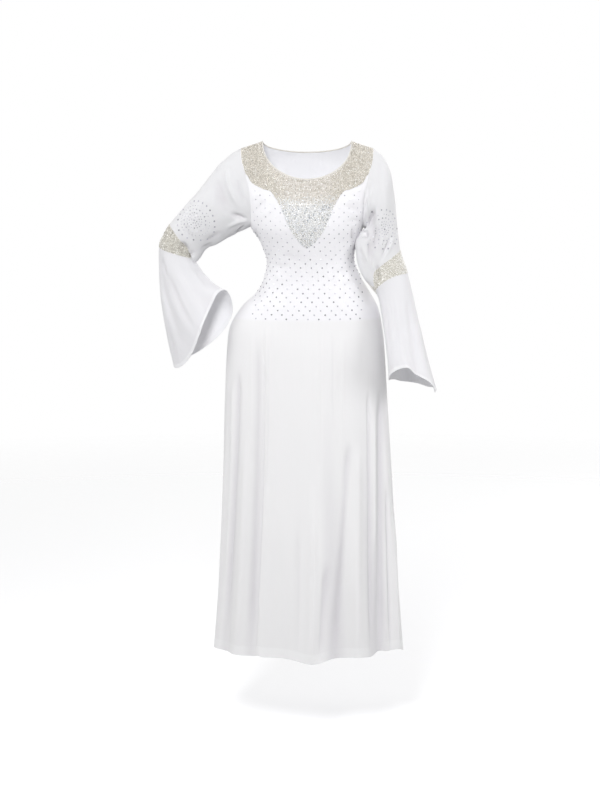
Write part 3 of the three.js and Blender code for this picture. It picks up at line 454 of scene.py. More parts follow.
def map_range(nodes, links, value, low, high, to_low=0.0, to_high=1.0):
    """A value moved from one range to another, and kept inside it."""
    made = node(nodes, "ShaderNodeMapRange", From_Min=low, From_Max=high, To_Min=to_low, To_Max=to_high)
    links.new(value, made.inputs["Value"])
    return made.outputs["Result"]


def attribute(nodes, name):
    made = nodes.new("ShaderNodeAttribute")
    made.attribute_name = name
    return made.outputs


def bumped(nodes, links, height, strength, distance, normal=None):
    made = node(nodes, "ShaderNodeBump", Strength=strength, Distance=distance)
    links.new(height, made.inputs["Height"])
    if normal is not None:
        links.new(normal, made.inputs["Normal"])
    return made.outputs["Normal"]


def mix_colour(nodes, links, factor, a, b):
    made = nodes.new("ShaderNodeMix")
    made.data_type = "RGBA"
    for socket, value in ((0, factor), (6, a), (7, b)):
        if hasattr(value, "links"):
            links.new(value, made.inputs[socket])
        else:
            made.inputs[socket].default_value = value
    return made.outputs[2]


LIGHT_WHITE = (1, 1, 1, 1)
LOWER_STEP = (-0.425, -0.434)  # heights between which the crepe turns to the skirt's darker tones, in metres
HEM_BLUR, HEM_SHARE = 0.0012, 0.35  # softness of a turned hem's edge in metres, and the share of its own tone
# Of these two tones, the second is painted shade for the bottoms of folds and creases.
HEM_TONE, PAINTED_FOLD_SHADE = (0.93, 0.93, 0.94, 1), (0.73, 0.72, 0.74, 1)


def crepe_material(name, light, dark, hem_turn, lower=None, painted_glow=0.0):
    """White crepe, slightly sheer: a fine pebbled weave, soft vertical streaks, faint tone changes, a turned hem,
    and painted shade in the bottoms of its folds.

    glow is painted light: an emission that lifts the cloth's shaded inner side, standing in for light that comes
    through the cloth."""
    material, nodes, links, shader = new_material(name)
    # The emission is painted light, as strong as the glow argument.
    set_inputs(shader, Roughness=0.8, Specular_IOR_Level=0.25, Sheen_Weight=0.15, Sheen_Roughness=0.5,
               Emission_Color=LIGHT_WHITE, Emission_Strength=painted_glow,
               Subsurface_Weight=0.75, Subsurface_Radius=(1.0, 1.0, 1.0), Subsurface_Scale=0.0009)
    place = nodes.new("ShaderNodeTexCoord").outputs["Object"]
    cloud = textured(nodes, links, "ShaderNodeTexNoise", place, Scale=9.0, Detail=3.0, Roughness=0.55).outputs["Fac"]
    tone = mix_colour(nodes, links, cloud, dark, light)
    if lower is not None:
        step = map_range(nodes, links, axis_of(nodes, links, place, "Z"), *LOWER_STEP)
        tone = mix_colour(nodes, links, step, tone, mix_colour(nodes, links, cloud, *lower))
    band = map_range(nodes, links, attribute(nodes, "hem")["Fac"], hem_turn + HEM_BLUR, hem_turn - HEM_BLUR,
                     to_high=HEM_SHARE)
    tone = mix_colour(nodes, links, band, tone, HEM_TONE)
    # Painted shade: the cloth turns towards the fold's shade colour where its "fold" attribute says it lies deep in
    # a fold.
    tone = mix_colour(nodes, links, attribute(nodes, "fold")["Fac"], tone, PAINTED_FOLD_SHADE)
    links.new(tone, shader.inputs["Base Color"])
    uv = nodes.new("ShaderNodeUVMap").outputs["UV"]
    grain = textured(nodes, links, "ShaderNodeTexNoise", uv, Scale=1300.0, Detail=2.0, Roughness=0.6)
    weave = textured(nodes, links, "ShaderNodeTexWave", uv, Scale=320.0, Distortion=3.0, Detail_Scale=2.0)
    stretch = textured(nodes, links, "ShaderNodeMapping", uv, Scale=(85.0, 2.2, 1.0)).outputs["Vector"]
    streak = textured(nodes, links, "ShaderNodeTexNoise", stretch, Scale=1.0, Detail=3.0, Roughness=0.5)
    normal = None
    for height, strength, distance in ((streak, 0.3, 0.0016), (grain, 0.35, 0.0003), (weave, 0.12, 0.0003)):
        normal = bumped(nodes, links, height.outputs["Fac"], strength, distance, normal)
    links.new(normal, shader.inputs["Normal"])
    return material


# Dark specks of painted shade in the cloth under the stones, for the gaps between them.
GAP_SHADE_TONE = (0.45, 0.42, 0.36, 1)


def ground_material(name, upper, lower, top, bottom):
    """The cloth under the stones, from one tint at the top height to another at the bottom height, with dark specks
    of painted shade for the gaps between the stones.
    """
    material, nodes, links, shader = new_material(name)
    set_inputs(shader, Roughness=0.5, Sheen_Weight=0.2)
    place = nodes.new("ShaderNodeTexCoord").outputs["Object"]
    fade = map_range(nodes, links, axis_of(nodes, links, place, "Z"), bottom, top)
    tint = mix_colour(nodes, links, fade, lower, upper)
    gap_speck = textured(nodes, links, "ShaderNodeTexVoronoi", place, Scale=420.0).outputs["Distance"]
    links.new(mix_colour(nodes, links, gap_speck, tint, GAP_SHADE_TONE), shader.inputs["Base Color"])
    links.new(bumped(nodes, links, gap_speck, 0.5, 0.0005), shader.inputs["Normal"])
    return material


def stone_material(name):
    """Foil-backed cut stones, each with the tint of its own attribute."""
    material, nodes, links, shader = new_material(name)
    set_inputs(shader, Roughness=0.3, Metallic=0.15, Coat_Weight=0.3, Coat_Roughness=0.2)
    links.new(attribute(nodes, "tint")["Color"], shader.inputs["Base Color"])
    return material


def thread_material(name, colour):
    """Twisted thread, with painted shade making it a little darker between its strands."""
    material, nodes, links, shader = new_material(name)
    set_inputs(shader, Roughness=0.5, Sheen_Weight=0.3)
    place = nodes.new("ShaderNodeTexCoord").outputs["Object"]
    twist = textured(nodes, links, "ShaderNodeTexNoise", place, Scale=2500.0, Detail=1.0).outputs["Fac"]
    # Painted shade: the thread is darker where its twist sinks between the strands.
    darker = (*(0.86 * c for c in colour[:3]), 1)
    links.new(mix_colour(nodes, links, twist, darker, colour), shader.inputs["Base Color"])
    links.new(bumped(nodes, links, twist, 0.4, 0.0001), shader.inputs["Normal"])
    return material


# The light and the dark tone that each crepe's clouds mix. The skirt's are given the other way round.
PANEL_TONES = ((0.885, 0.88, 0.905, 1), (0.86, 0.855, 0.882, 1))
SKIRT_TONES = ((0.84, 0.836, 0.845, 1), (0.857, 0.853, 0.86, 1))
# Painted shade: the bells and the upper sleeves are darker copies of the same white crepe, for how dimly they are
# lit; the upper sleeves' also stand for the shaded hollow seen through the sheer cloth.
SHADED_BELL_TONES = ((0.80, 0.798, 0.82, 1), (0.775, 0.772, 0.79, 1))
SHADED_SLEEVE_TONES = ((0.785, 0.785, 0.80, 1), (0.755, 0.755, 0.767, 1))
# The inner side of the crepe: darker copies of its tones, with a painted glow that lifts the shaded insides of the
# bells and the neck.
SHADED_INNER_TONES, INNER_PAINTED_GLOW = ((0.78, 0.78, 0.80, 1), (0.74, 0.74, 0.76, 1)), 0.12
# The cloth under the stones: champagne above, silver below, between two heights in metres.
YOKE_TONES, YOKE_FADE = ((0.60, 0.565, 0.51, 1), (0.76, 0.79, 0.84, 1)), (-0.128, -0.158)
BAND_TONE = (0.66, 0.65, 0.6, 1)

crepe = crepe_material("white crepe", *PANEL_TONES, HEM_TURN * MM, SKIRT_TONES)
bell_crepe = crepe_material("white crepe of the bells", *SHADED_BELL_TONES, BELL_TURN * MM)
sleeve_crepe = crepe_material("white crepe of the upper sleeves", *SHADED_SLEEVE_TONES, 0)
inner_crepe = crepe_material("inner side of the crepe", *SHADED_INNER_TONES, 0, painted_glow=INNER_PAINTED_GLOW)
yoke_ground = ground_material("yoke ground", *YOKE_TONES, *YOKE_FADE)
band_ground = ground_material("band ground", BAND_TONE, BAND_TONE, 1, 0)
stone_finish = stone_material("cut stones")
thread = thread_material("white thread", (0.9, 0.9, 0.92, 1))
binding_finish = thread_material("satin binding", (0.80, 0.77, 0.71, 1))


# --- Meshes ---
def linked(name, data):
    made = bpy.data.objects.new(name, data)
    bpy.context.scene.collection.objects.link(made)
    return made


def add_object(name, mesh, material):
    mesh.materials.append(material)
    made = linked(name, mesh)
    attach(made, "root")
    return made


def mesh_of(name, points, faces):
    """A mesh of points given in millimetres."""
    mesh = bpy.data.meshes.new(name)
    mesh.from_pydata((points.reshape(-1, 3) * MM).tolist(), [], faces)
    return mesh


def of_corners(mesh, kind):
    """The vertex or the edge that each corner of a mesh's faces has."""
    numbers = np.empty(len(mesh.loops), int)
    mesh.loops.foreach_get(kind, numbers)
    return numbers


def keep_values(mesh, name, kind, domain, values):
    mesh.attributes.new(name, kind, domain).data.foreach_set("value", values)


def grid_quads(rows, wide, closed):
    """The points of each face of a grid of rows."""
    index = np.arange(rows * wide).reshape(rows, wide)
    right = np.roll(index, -1, 1) if closed else index[:, 1:]
    left = index if closed else index[:, :-1]
    return np.stack([left[:-1], right[:-1], right[1:], left[1:]], -1).reshape(-1, 4)


NO_HEM = 9.0  # a distance to the hem beyond any hem's turn, in metres


def grid_object(name, points, normals, material, slot, closed=False, wall=0.9, hem=None, low=None):
    """A thin shell on a grid of points, in millimetres, that grows inwards to its wall.

    hem is the distance to the hem, and low how deep each point lies in a fold, which sets the painted shade mixed
    into its colour."""
    rows, wide = points.shape[:2]
    quads = grid_quads(rows, wide, closed)
    middle = quads[len(quads) // 2]
    a, b, c = (points.reshape(-1, 3)[middle[k]] for k in (0, 1, 2))
    facing = np.cross(b - a, c - a) @ normals.reshape(-1, 3)[middle[0]]
    if facing < 0:
        quads = quads[:, ::-1]
    mesh = mesh_of(name, points, quads.tolist())
    mesh.shade_smooth()
    across = np.concatenate([np.zeros((rows, 1)), np.linalg.norm(np.diff(points, axis=1), axis=-1).cumsum(1)], 1)
    down = np.concatenate([np.zeros((1, wide)), np.linalg.norm(np.diff(points, axis=0), axis=-1).cumsum(0)], 0)
    uv = np.stack([across - across.mean(1, keepdims=True), -down], -1).reshape(-1, 2) * MM
    layer = mesh.uv_layers.new(name="cloth")
    layer.data.foreach_set("uv", uv[of_corners(mesh, "vertex_index")].ravel())
    distance = np.full(rows * wide, NO_HEM) if hem is None else hem.ravel() * MM
    keep_values(mesh, "hem", "FLOAT", "POINT", distance)
    # How much painted shade each point gets, from how deep it lies in a fold.
    shade = np.zeros(rows * wide) if low is None else np.clip(low.ravel() / FOLD_SHADE, 0, 1)
    keep_values(mesh, "fold", "FLOAT", "POINT", shade)
    rim = np.bincount(of_corners(mesh, "edge_index"), minlength=len(mesh.edges)) == 1
    keep_values(mesh, "sharp_edge", "BOOLEAN", "EDGE", rim)
    made = add_object(name, mesh, material)
    solid = made.modifiers.new("wall", "SOLIDIFY")
    if slot == "crepe":
        mesh.materials.append(inner_crepe)
        solid.material_offset = 1
    solid.thickness = wall * MM
    solid.offset = -1
    solid.use_even_offset = False
    return made


def hem_distance(points):
    """Distance along the cloth from each point of a grid down to its last row."""
    steps = np.linalg.norm(np.diff(points, axis=0), axis=-1)
    return np.concatenate([steps[::-1].cumsum(0)[::-1], np.zeros((1, points.shape[1]))], 0)


def seam_dip(distance, deep):
    return -deep * bell(distance, SEAM_BROAD)


def panel_grid(face, columns, rows):
    u = np.linspace(0, 1, columns)
    level = np.concatenate([np.linspace(0, ARMHOLE_ROWS, rows[0], endpoint=False),
                            np.linspace(ARMHOLE_ROWS, ROWS, rows[1])])
    points, angle = panel_point(u[None, :], level[:, None], face)
    away = np.array([0, face, 0.0])
    normals = normals_of(points, False, away)
    out = crisp_out(angle, points[..., 2])
    out += stroke_out(points, normals, FRONT_STROKES if face < 0 else BACK_STROKES, face)
    fade = np.minimum(np.arange(columns), np.arange(columns)[::-1]) / columns
    out *= ease(fade, 0, 0.03)[None, :] * ease(level, 0, 1.5)[:, None]
    # How deep each point lies in a fold, which sets its painted shade.
    low = -out - 0.45 * fold_out(angle, points[..., 2])
    hem = hem_distance(points)
    out += hem_step(hem, HEM_TURN, 0.3)
    side = np.minimum(*(np.linalg.norm(points - end, axis=-1) for end in (points[:, :1], points[:, -1:])))
    out += seam_dip(side, 0.15)
    shoulder = np.abs(shoulder_top(points[..., 0]) - points[..., 2])
    on_shoulder = (np.abs(points[..., 0]) > NECK_HALF).astype(float)
    out += seam_dip(shoulder, 0.2) * on_shoulder
    points = points + normals * out[..., None]
    return points, normals_of(points, False, away), hem, low


front_points, front_normals, front_hem, front_low = panel_grid(-1, 196, (74, 164))
back_points, back_normals, back_hem, back_low = panel_grid(1, 140, (56, 150))
front = grid_object("front_cloth", front_points, front_normals, crepe, "crepe", hem=front_hem, low=front_low)
back = grid_object("back_cloth", back_points, back_normals, crepe, "crepe", hem=back_hem, low=back_low)
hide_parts("front")
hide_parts("back")


# --- Sleeves ---
def armhole_local(arm, side, point):
    outer = np.array([float(arm[n](0)) for n in ("outer_x", "outer_y", "outer_z")])
    inner = np.array([float(arm[n](0)) for n in ("inner_x", "inner_y", "inner_z")])
    chord = inner - outer
    ahead = np.cross([0, 1, 0], chord)
    ahead = -side * ahead / np.linalg.norm(ahead)
    offset = point - outer
    return offset @ chord / (chord @ chord), point[..., 1] / float(arm["half"](0)), offset @ ahead


def shifted_station(shifts, s, angle):
    """The station that each point of a sleeve slides to when the edges beside it are shifted."""
    moved = np.broadcast_to(s, np.broadcast(s, angle).shape).copy()
    for e in rows_of(shifts):
        gone = np.where(s < e["edge"], (e["edge"] - s) / e["before"], (s - e["edge"]) / e["after"])
        moved += e["shift"] * np.maximum(1 - gone, 0) * bell(turn_from(angle, e["round"]), e["broad"])
    return moved


def sleeve_grid(side, arm_rows, folds, reach, shifts, creases, strokes, around, rings):
    arm = curves(arm_rows, "s")
    rows = np.concatenate([np.linspace(0, ARMHOLE_ROWS, around // 2, endpoint=False),
                           np.linspace(ARMHOLE_ROWS, 0, around // 2, endpoint=False)])
    face = np.where(np.arange(around) < around // 2, -1, 1)
    angle = np.where(face < 0, math.pi * rows / ARMHOLE_ROWS, TAU - math.pi * rows / ARMHOLE_ROWS)
    edge = 0.0 if side < 0 else 1.0
    seam = np.where(face[:, None] < 0, panel_point(edge, rows, -1)[0], panel_point(edge, rows, 1)[0])
    down0, depth0, ahead0 = armhole_local(arm, side, seam)
    s = np.concatenate([[0]] + [np.linspace(k, k + 1, count)[1:] for k, count in enumerate(rings)])
    slid = shifted_station(shifts, s[:, None], angle[None, :])
    at = {name: f(slid) for name, f in arm.items()}
    outer = np.stack([at["outer_x"], at["outer_y"], at["outer_z"]], -1)
    chord = np.stack([at["inner_x"], at["inner_y"], at["inner_z"]], -1) - outer
    turn = np.radians(at["turn"])
    deep = np.stack([np.sin(turn), np.cos(turn), np.zeros_like(turn)], -1)
    ahead = -side * unit(np.cross(deep, chord))
    away = ease(slid, 0, ARMHOLE_FADE)
    down = down0 + ((1 - np.cos(angle)) / 2 - down0) * away
    depth = (depth0 + (-np.sin(angle) - depth0) * away) * at["half"]
    half = np.where(face < 0, angle, TAU - angle)
    past = np.where(face < 0, reach[-1][0], reach[1][0]) * np.sin(half) ** 2
    past = past + np.where(face < 0, reach[-1][1], reach[1][1]) * np.sin(2 * half)
    bow = ahead0 * (1 - away) + past * np.maximum(slid - 2, 0) ** reach["grow"]
    points = outer + chord * down[..., None] + deep * depth[..., None] + ahead * bow[..., None]
    centre = points.mean(1, keepdims=True)
    normals = normals_of(points, True, points - centre)

    def lift(rows, fade):
        out = np.zeros(points.shape[:2])
        for f in rows_of(rows):
            along = (slid - f["s"]) / f["long"]
            about = turn_from(angle[None, :], f["round"] + f["slant"] * (slid - f["s"]))
            out += f["out"] * np.exp(-along * along) * bell(about, f["broad"])
        return out * ease(slid, *fade)

    large = lift(folds, (0.04, 0.25))
    points = points + normals * large[..., None]
    normals = normals_of(points, True, points - centre)
    out = lift(creases, (0.02, 0.12)) + stroke_out(points, normals, strokes, -1) * ease(slid, 0, 0.09)
    # How deep each point lies in a fold, which sets its painted shade.
    low = -out - 0.45 * large
    hem = hem_distance(points)
    out += hem_step(hem, BELL_TURN, 0.4) * (s > 2.2)[:, None]
    points = points + normals * out[..., None]
    normals = normals_of(points, True, points - centre)
    return {"points": points, "normals": normals, "hem": hem, "low": low, "s": s, "angle": angle}


POUCH = {"at": 2.8, "broad": 0.5, "start": 0.8, "out": 3.5, "down": 10.0}


def pouch(s, angle, normals):
    """The loose cloth of the bent arm's upper sleeve, which hangs over the band at the inner elbow."""
    share = ease(s, POUCH["start"], 1)[:, None] * bell(angle - POUCH["at"], POUCH["broad"])[None, :]
    drop = np.array([0, 0, -POUCH["down"]])
    return share[..., None] * (normals * POUCH["out"] + drop)


def sleeve_pieces(arm, grid):
    """The three shells of one sleeve."""
    s = grid["s"]
    made = {}
    for piece, low, high in (("upper", 0, 1), ("band", 1, 2), ("bell", 2, 3)):
        rows = (s >= low - 1e-9) & (s <= high + 1e-9)
        points, normals = grid["points"][rows], grid["normals"][rows]
        if arm == "r" and piece == "upper":
            points = points + pouch(s[rows], grid["angle"], normals)
        hem = grid["hem"][rows] if piece == "bell" else None
        finish = {"upper": sleeve_crepe, "band": band_ground, "bell": bell_crepe}[piece]
        name = f"sleeve_{arm}_{piece}"
        slot = "stones" if piece == "band" else "crepe"
        made[piece] = grid_object(name + "_cloth", points, normals, finish, slot, closed=True, hem=hem,
                                  low=grid["low"][rows])
        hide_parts(name)
    return made


AROUND, RINGS = 156, (92, 24, 88)
right_grid = sleeve_grid(-1, RIGHT_ARM, RIGHT_FOLDS, RIGHT_REACH, {}, SLEEVE_CREASES["r"],
                         SLEEVE_STROKES["r"], AROUND, RINGS)
left_grid = sleeve_grid(1, LEFT_ARM, LEFT_FOLDS, LEFT_REACH, EDGE_SHIFTS, SLEEVE_CREASES["l"],
                        SLEEVE_STROKES["l"], AROUND, RINGS)
right_sleeve = sleeve_pieces("r", right_grid)
left_sleeve = sleeve_pieces("l", left_grid)


# --- Yoke and binding ---
def yoke_grid(columns, rows):
    u = YOKE_INSET + (1 - 2 * YOKE_INSET) * np.linspace(0, 1, columns)
    above, below = np.zeros(columns), np.full(columns, ARMHOLE_ROWS + len(LOWER_ROWS) / 2)
    for _ in range(40):
        row = (above + below) / 2
        p = panel_point(u, row, -1)[0]
        inside = p[:, 2] > yoke_edge(np.abs(p[:, 0]))
        above, below = np.where(inside, row, above), np.where(inside, below, row)
    v = np.linspace(0, 1, rows)[:, None]
    level = YOKE_START + (above - YOKE_START) * v
    points, _ = panel_point(u[None, :], level, -1)
    normals = normals_of(points, False, np.array([0, -1.0, 0]))
    edge = np.minimum(np.minimum(v, 1 - v) * rows, np.minimum(np.arange(columns), np.arange(columns)[::-1])[None, :])
    return points + normals * (0.75 + 0.55 * ease(edge, 0, 2))[..., None], normals


yoke_points, yoke_normals = yoke_grid(170, 110)
yoke = grid_object("yoke_cloth", yoke_points, yoke_normals, yoke_ground, "stones", wall=0.6)
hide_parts("front_yoke")


def binding_object():
    """The narrow binding round the neck edge, an oval tube with a flat inner side."""
    width, thick, gap, lean, sides = 3.2, 2.4, 0.6, 0.4, 12

    def edge(points, normals):
        last = points.shape[1] - 1
        first = round(SHOULDER_SHARE * last)
        into = unit(points[0] - points[1])
        keep = slice(first, last - first + 1)
        return points[0, keep], into[keep], normals[0, keep]

    coarse = {face: panel_point(np.linspace(0, 1, 141)[None], np.array([[0.0], [1.0]]), face)[0] for face in (-1, 1)}
    ahead, behind = (edge(grid, normals_of(grid, False, np.array([0, face, 0.0]))) for face, grid in coarse.items())
    loop, into, _ = (np.concatenate([a, b[::-1][1:-1]]) for a, b in zip(ahead, behind))
    for _ in range(3):
        into = (np.roll(into, 1, 0) + into * 2 + np.roll(into, -1, 0)) / 4
    along = unit(np.roll(loop, -1, 0) - np.roll(loop, 1, 0))
    centre = unit(np.array([0, 0, NECK_TOP + 40.0]) - loop)
    lead = centre * lean + into
    lead = unit(lead - along * (lead * along).sum(-1, keepdims=True))
    side = np.cross(along, lead)
    middle = loop + lead * (gap * 0.3 + width / 2)
    turn = TAU * (np.arange(sides) + 0.5) / sides

    def square(value):
        return np.sign(value) * np.abs(value) ** 0.7

    points = (middle[:, None] + lead[:, None] * (square(np.cos(turn)) * width / 2)[None, :, None]
              + side[:, None] * (square(np.sin(turn)) * thick / 2)[None, :, None])
    count = len(points)
    index = np.arange(count * sides).reshape(count, sides)
    nxt, up = np.roll(index, -1, 0), np.roll(index, -1, 1)
    quads = np.stack([index, up, np.roll(nxt, -1, 1), nxt], -1).reshape(-1, 4)
    a, b, c = (points.reshape(-1, 3)[quads[0, k]] for k in (0, 1, 2))
    if np.cross(b - a, c - a) @ (a - middle[0]) < 0:
        quads = quads[:, ::-1]
    mesh = mesh_of("neck_binding_satin", points, quads.tolist())
    mesh.shade_smooth()
    return add_object("neck_binding_satin", mesh, binding_finish)


binding = binding_object()
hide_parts("neck_binding")


# --- Stones ---
STONE_PITCH, STONE_TRIES = 2.95, 14  # least distance of scattered stones, and how many places are tried for each


def scatter(points, normals, seed, first=None):
    """Random places on a grid's surface, none closer than the pitch, with their normals, after the first ones."""
    spacing = STONE_PITCH
    rng = np.random.default_rng(seed)
    a, b = points[:-1, :-1], points[:-1, 1:]
    c, d = points[1:, 1:], points[1:, :-1]
    area = np.linalg.norm(np.cross(c - a, d - b), axis=-1) / 2
    share = area.ravel() / area.sum()
    count = int(STONE_TRIES * area.sum() / (spacing * spacing))
    pick = rng.choice(len(share), count, p=share)
    i, j = np.unravel_index(pick, area.shape)
    s, t = rng.random((2, count, 1))

    def at(grid):
        return ((grid[i, j] * (1 - s) + grid[i, j + 1] * s) * (1 - t)
                + (grid[i + 1, j] * (1 - s) + grid[i + 1, j + 1] * s) * t)

    place, normal = at(points), at(normals)
    if first is not None:
        place, normal = np.concatenate([first[0], place]), np.concatenate([first[1], normal])
    cells, chosen = {}, []
    near = [(x, y, z) for x in (-1, 0, 1) for y in (-1, 0, 1) for z in (-1, 0, 1)]
    keys = np.floor(place / spacing).astype(int)
    limit = spacing * spacing
    for k, (p, key) in enumerate(zip(place.tolist(), keys.tolist())):
        free = True
        for dx, dy, dz in near:
            for q in cells.get((key[0] + dx, key[1] + dy, key[2] + dz), ()):
                if (p[0] - q[0]) ** 2 + (p[1] - q[1]) ** 2 + (p[2] - q[2]) ** 2 < limit:
                    free = False
                    break
            if not free:
                break
        if free:
            cells.setdefault(tuple(key), []).append(p)
            chosen.append(k)
    return place[chosen], normal[chosen]


STONE_SIDES, STONE_LEAN = 7, 0.2
STONE_SUNK = 0.25  # how deep a stone's foot sits in the cloth
# A cut stone's girdle and table: breadth and height as shares of its radius. Its foot has the breadth FOOT.
FOOT, GIRDLE, TABLE = 0.94, (1, 0.22), (0.52, 0.62)


def stones_object(name, places, normals, radii, tints, seed):
    """Many cut stones as one mesh: a low crown with a flat table on a girdle."""
    rng = np.random.default_rng(seed)
    count, sides = len(places), STONE_SIDES
    normals = unit(normals)
    lean = rng.normal(0, STONE_LEAN, (count, 3))
    normals = unit(normals + lean - normals * (normals * lean).sum(-1, keepdims=True))
    first = unit(np.cross(normals, [0.3, 0.2, 1.0]))
    second = np.cross(normals, first)
    spin = rng.random(count) * TAU
    turn = spin[:, None] + TAU * np.arange(sides)[None, :] / sides
    rim = np.cos(turn)[..., None] * first[:, None] + np.sin(turn)[..., None] * second[:, None]
    up, r = normals[:, None], radii[:, None, None]
    foot = places[:, None] + rim * r * FOOT - up * STONE_SUNK
    crown = [places[:, None] + rim * r * broad + up * r * high for broad, high in (GIRDLE, TABLE)]
    rings = np.concatenate([foot, *crown], 1)
    base = (np.arange(count) * 3 * sides)[:, None]
    k = np.arange(sides)
    n = (k + 1) % sides
    quads = np.stack([k, n, n + sides, k + sides], -1)
    quads = np.concatenate([quads, quads + sides])
    faces = (base[:, :, None] + quads[None]).reshape(-1, 4).tolist()
    tables = (base + 2 * sides + k[None]).tolist()
    mesh = mesh_of(name, rings, faces + tables)
    mesh.polygons.foreach_set("use_smooth", np.zeros(len(mesh.polygons), bool))
    tint = mesh.color_attributes.new(name="tint", type="FLOAT_COLOR", domain="CORNER")
    colour = np.ones((count, 4))
    colour[:, :3] = tints
    tint.data.foreach_set("color", colour[of_corners(mesh, "vertex_index") // (3 * sides)].ravel())
    return add_object(name, mesh, stone_finish)


def tint_mix(rng, count, colours, weights, spread=0.08):
    pick = rng.choice(len(colours), count, p=weights)
    tint = np.array(colours, float)[pick]
    return np.clip(tint * (1 + rng.normal(0, spread, (count, 1))), 0.02, 1)


# Tints of the stones: the usual one, a darker one, the brightest and the darkest.
CHAMPAGNE = [(0.84, 0.80, 0.735), (0.65, 0.615, 0.55), (0.98, 0.96, 0.92), (0.40, 0.37, 0.32)]
PALE = [(0.88, 0.845, 0.82), (0.74, 0.70, 0.67), (0.99, 0.98, 0.97), (0.52, 0.49, 0.46)]
BAND = [(0.88, 0.865, 0.82), (0.68, 0.66, 0.61), (1.0, 0.99, 0.97), (0.42, 0.40, 0.36)]
SILVER = [(0.97, 0.98, 1.0), (0.78, 0.80, 0.85), (1.0, 1.0, 1.0), (0.34, 0.37, 0.42)]
GREY = [(0.54, 0.53, 0.59), (0.42, 0.41, 0.46), (0.28, 0.28, 0.31), (0.84, 0.84, 0.88)]
ICE = [(0.97, 0.98, 1.0), (0.88, 0.91, 0.96), (1.0, 1.0, 1.0), (0.70, 0.74, 0.80)]


def tree_of(points, closed):
    quads = grid_quads(*points.shape[:2], closed)
    return BVHTree.FromPolygons(points.reshape(-1, 3).tolist(), quads.tolist())


def cast(tree, origins, direction, reach=400.0):
    """Where rays from the origins first meet the cloth, with the normals there turned back to the rays."""
    places, normals = [], []
    way = Vector(direction).normalized()
    for origin in origins:
        place, normal, _, _ = tree.ray_cast(Vector(origin), way, reach)
        if place is None:
            continue
        if normal.dot(way) > 0:
            normal.negate()
        places.append(tuple(place))
        normals.append(tuple(normal))
    return np.array(places), np.array(normals)


# The yoke's champagne gives way to silver round V_TOP; its middle stones stand in even rows.
V_TOP, V_FADE = -142.0, 13.0
ROW_PITCH, ROWS_HALF, ROWS_TOP, ROWS_LOW = 3.3, 98.0, -92.0, -146.0


def yoke_stones_object():
    rng = np.random.default_rng(11)
    x, z = np.meshgrid(np.arange(-ROWS_HALF, ROWS_HALF, ROW_PITCH), np.arange(ROWS_LOW, ROWS_TOP, ROW_PITCH))
    x = x + rng.normal(0, 0.22, x.shape)
    z = z - 0.0013 * x * x * (z - ROWS_LOW) / (ROWS_TOP - ROWS_LOW) + rng.normal(0, 0.22, z.shape)
    inside = z > yoke_edge(np.abs(x)) + 2
    even = cast(tree_of(yoke_points, False), np.stack([x, np.full_like(x, -300), z], -1)[inside].tolist(), (0, 1, 0))
    places, out = scatter(yoke_points, yoke_normals, 5, first=even)
    count = len(places)
    across, height = np.abs(places[:, 0]), places[:, 2]
    silver = rng.random(count) < ease(V_TOP - height, -V_FADE, V_FADE)
    ice = rng.random(count) < 0.5 * bell(height - V_TOP - 4, 12)
    pale = rng.random(count) < 1 - ease(across, 40, 92)
    tint = np.where(pale[:, None], tint_mix(rng, count, PALE, (0.52, 0.22, 0.19, 0.07)),
                    tint_mix(rng, count, CHAMPAGNE, (0.52, 0.22, 0.18, 0.08)))
    tint = np.where(silver[:, None], tint_mix(rng, count, SILVER, (0.5, 0.22, 0.2, 0.08)), tint)
    tint = np.where(ice[:, None], tint_mix(rng, count, ICE, (0.45, 0.3, 0.15, 0.1)), tint)
    radii = np.where(silver, rng.uniform(1.15, 1.7, count), rng.uniform(1.2, 1.5, count))
    return stones_object("yoke_stones", places, out, radii, tint, 21)


yoke_stones = yoke_stones_object()


def band_stones(arm, grid, shares, seed):
    rows = (grid["s"] >= 1) & (grid["s"] <= 2)
    points, normals = (np.concatenate([g[rows], g[rows][:, :1]], 1) for g in (grid["points"], grid["normals"]))
    places, out = scatter(points, normals, seed)
    rng = np.random.default_rng(seed)
    tint = tint_mix(rng, len(places), BAND, shares)
    return stones_object(f"band_{arm}_stones", places, out, rng.uniform(1.2, 1.5, len(places)), tint, seed + 1)


band_r_stones = band_stones("r", right_grid, (0.3, 0.4, 0.08, 0.22), 31)
band_l_stones = band_stones("l", left_grid, (0.55, 0.13, 0.3, 0.02), 41)


# The bodice lattice: rows of stones, alternate rows shifted by half, from a straight lower edge up to the yoke.
LATTICE = {"across": 26.6, "down": 10.4, "low": -426.0, "top": -60.0, "half": 138.0, "clear": 7.0, "seam": 6.0}


def lattice_places():
    """Where rays from the front set out to the lattice's stones."""
    origins = []
    row = 0
    z = LATTICE["low"]
    across = np.linspace(-math.pi / 2, math.pi / 2, 721)
    while z < LATTICE["top"]:
        # spacing is measured along the cloth, so it closes up towards the sides
        p = body_point(across, np.full_like(across, z), -1)
        arc = np.concatenate([[0], np.hypot(np.diff(p[:, 0]), np.diff(p[:, 1])).cumsum()])
        arc -= arc[360]
        shift = (row % 2) * LATTICE["across"] / 2
        count = int(arc[-1] // LATTICE["across"]) + 2
        for k in range(-count, count + 1):
            at = k * LATTICE["across"] + shift
            if not arc[0] + 4 < at < arc[-1] - 4:
                continue
            x = float(np.interp(at, arc, p[:, 0]))
            side = float(np.interp(z, ARMHOLE["z"][::-1], ARMHOLE["x"][::-1]))
            limit = min(LATTICE["half"], side - LATTICE["seam"]) if z > ARMPIT else LATTICE["half"]
            if abs(x) > limit or z > yoke_edge(abs(x)) - LATTICE["clear"]:
                continue
            origins.append((x, -400.0, z))
        z += LATTICE["down"]
        row += 1
    return origins


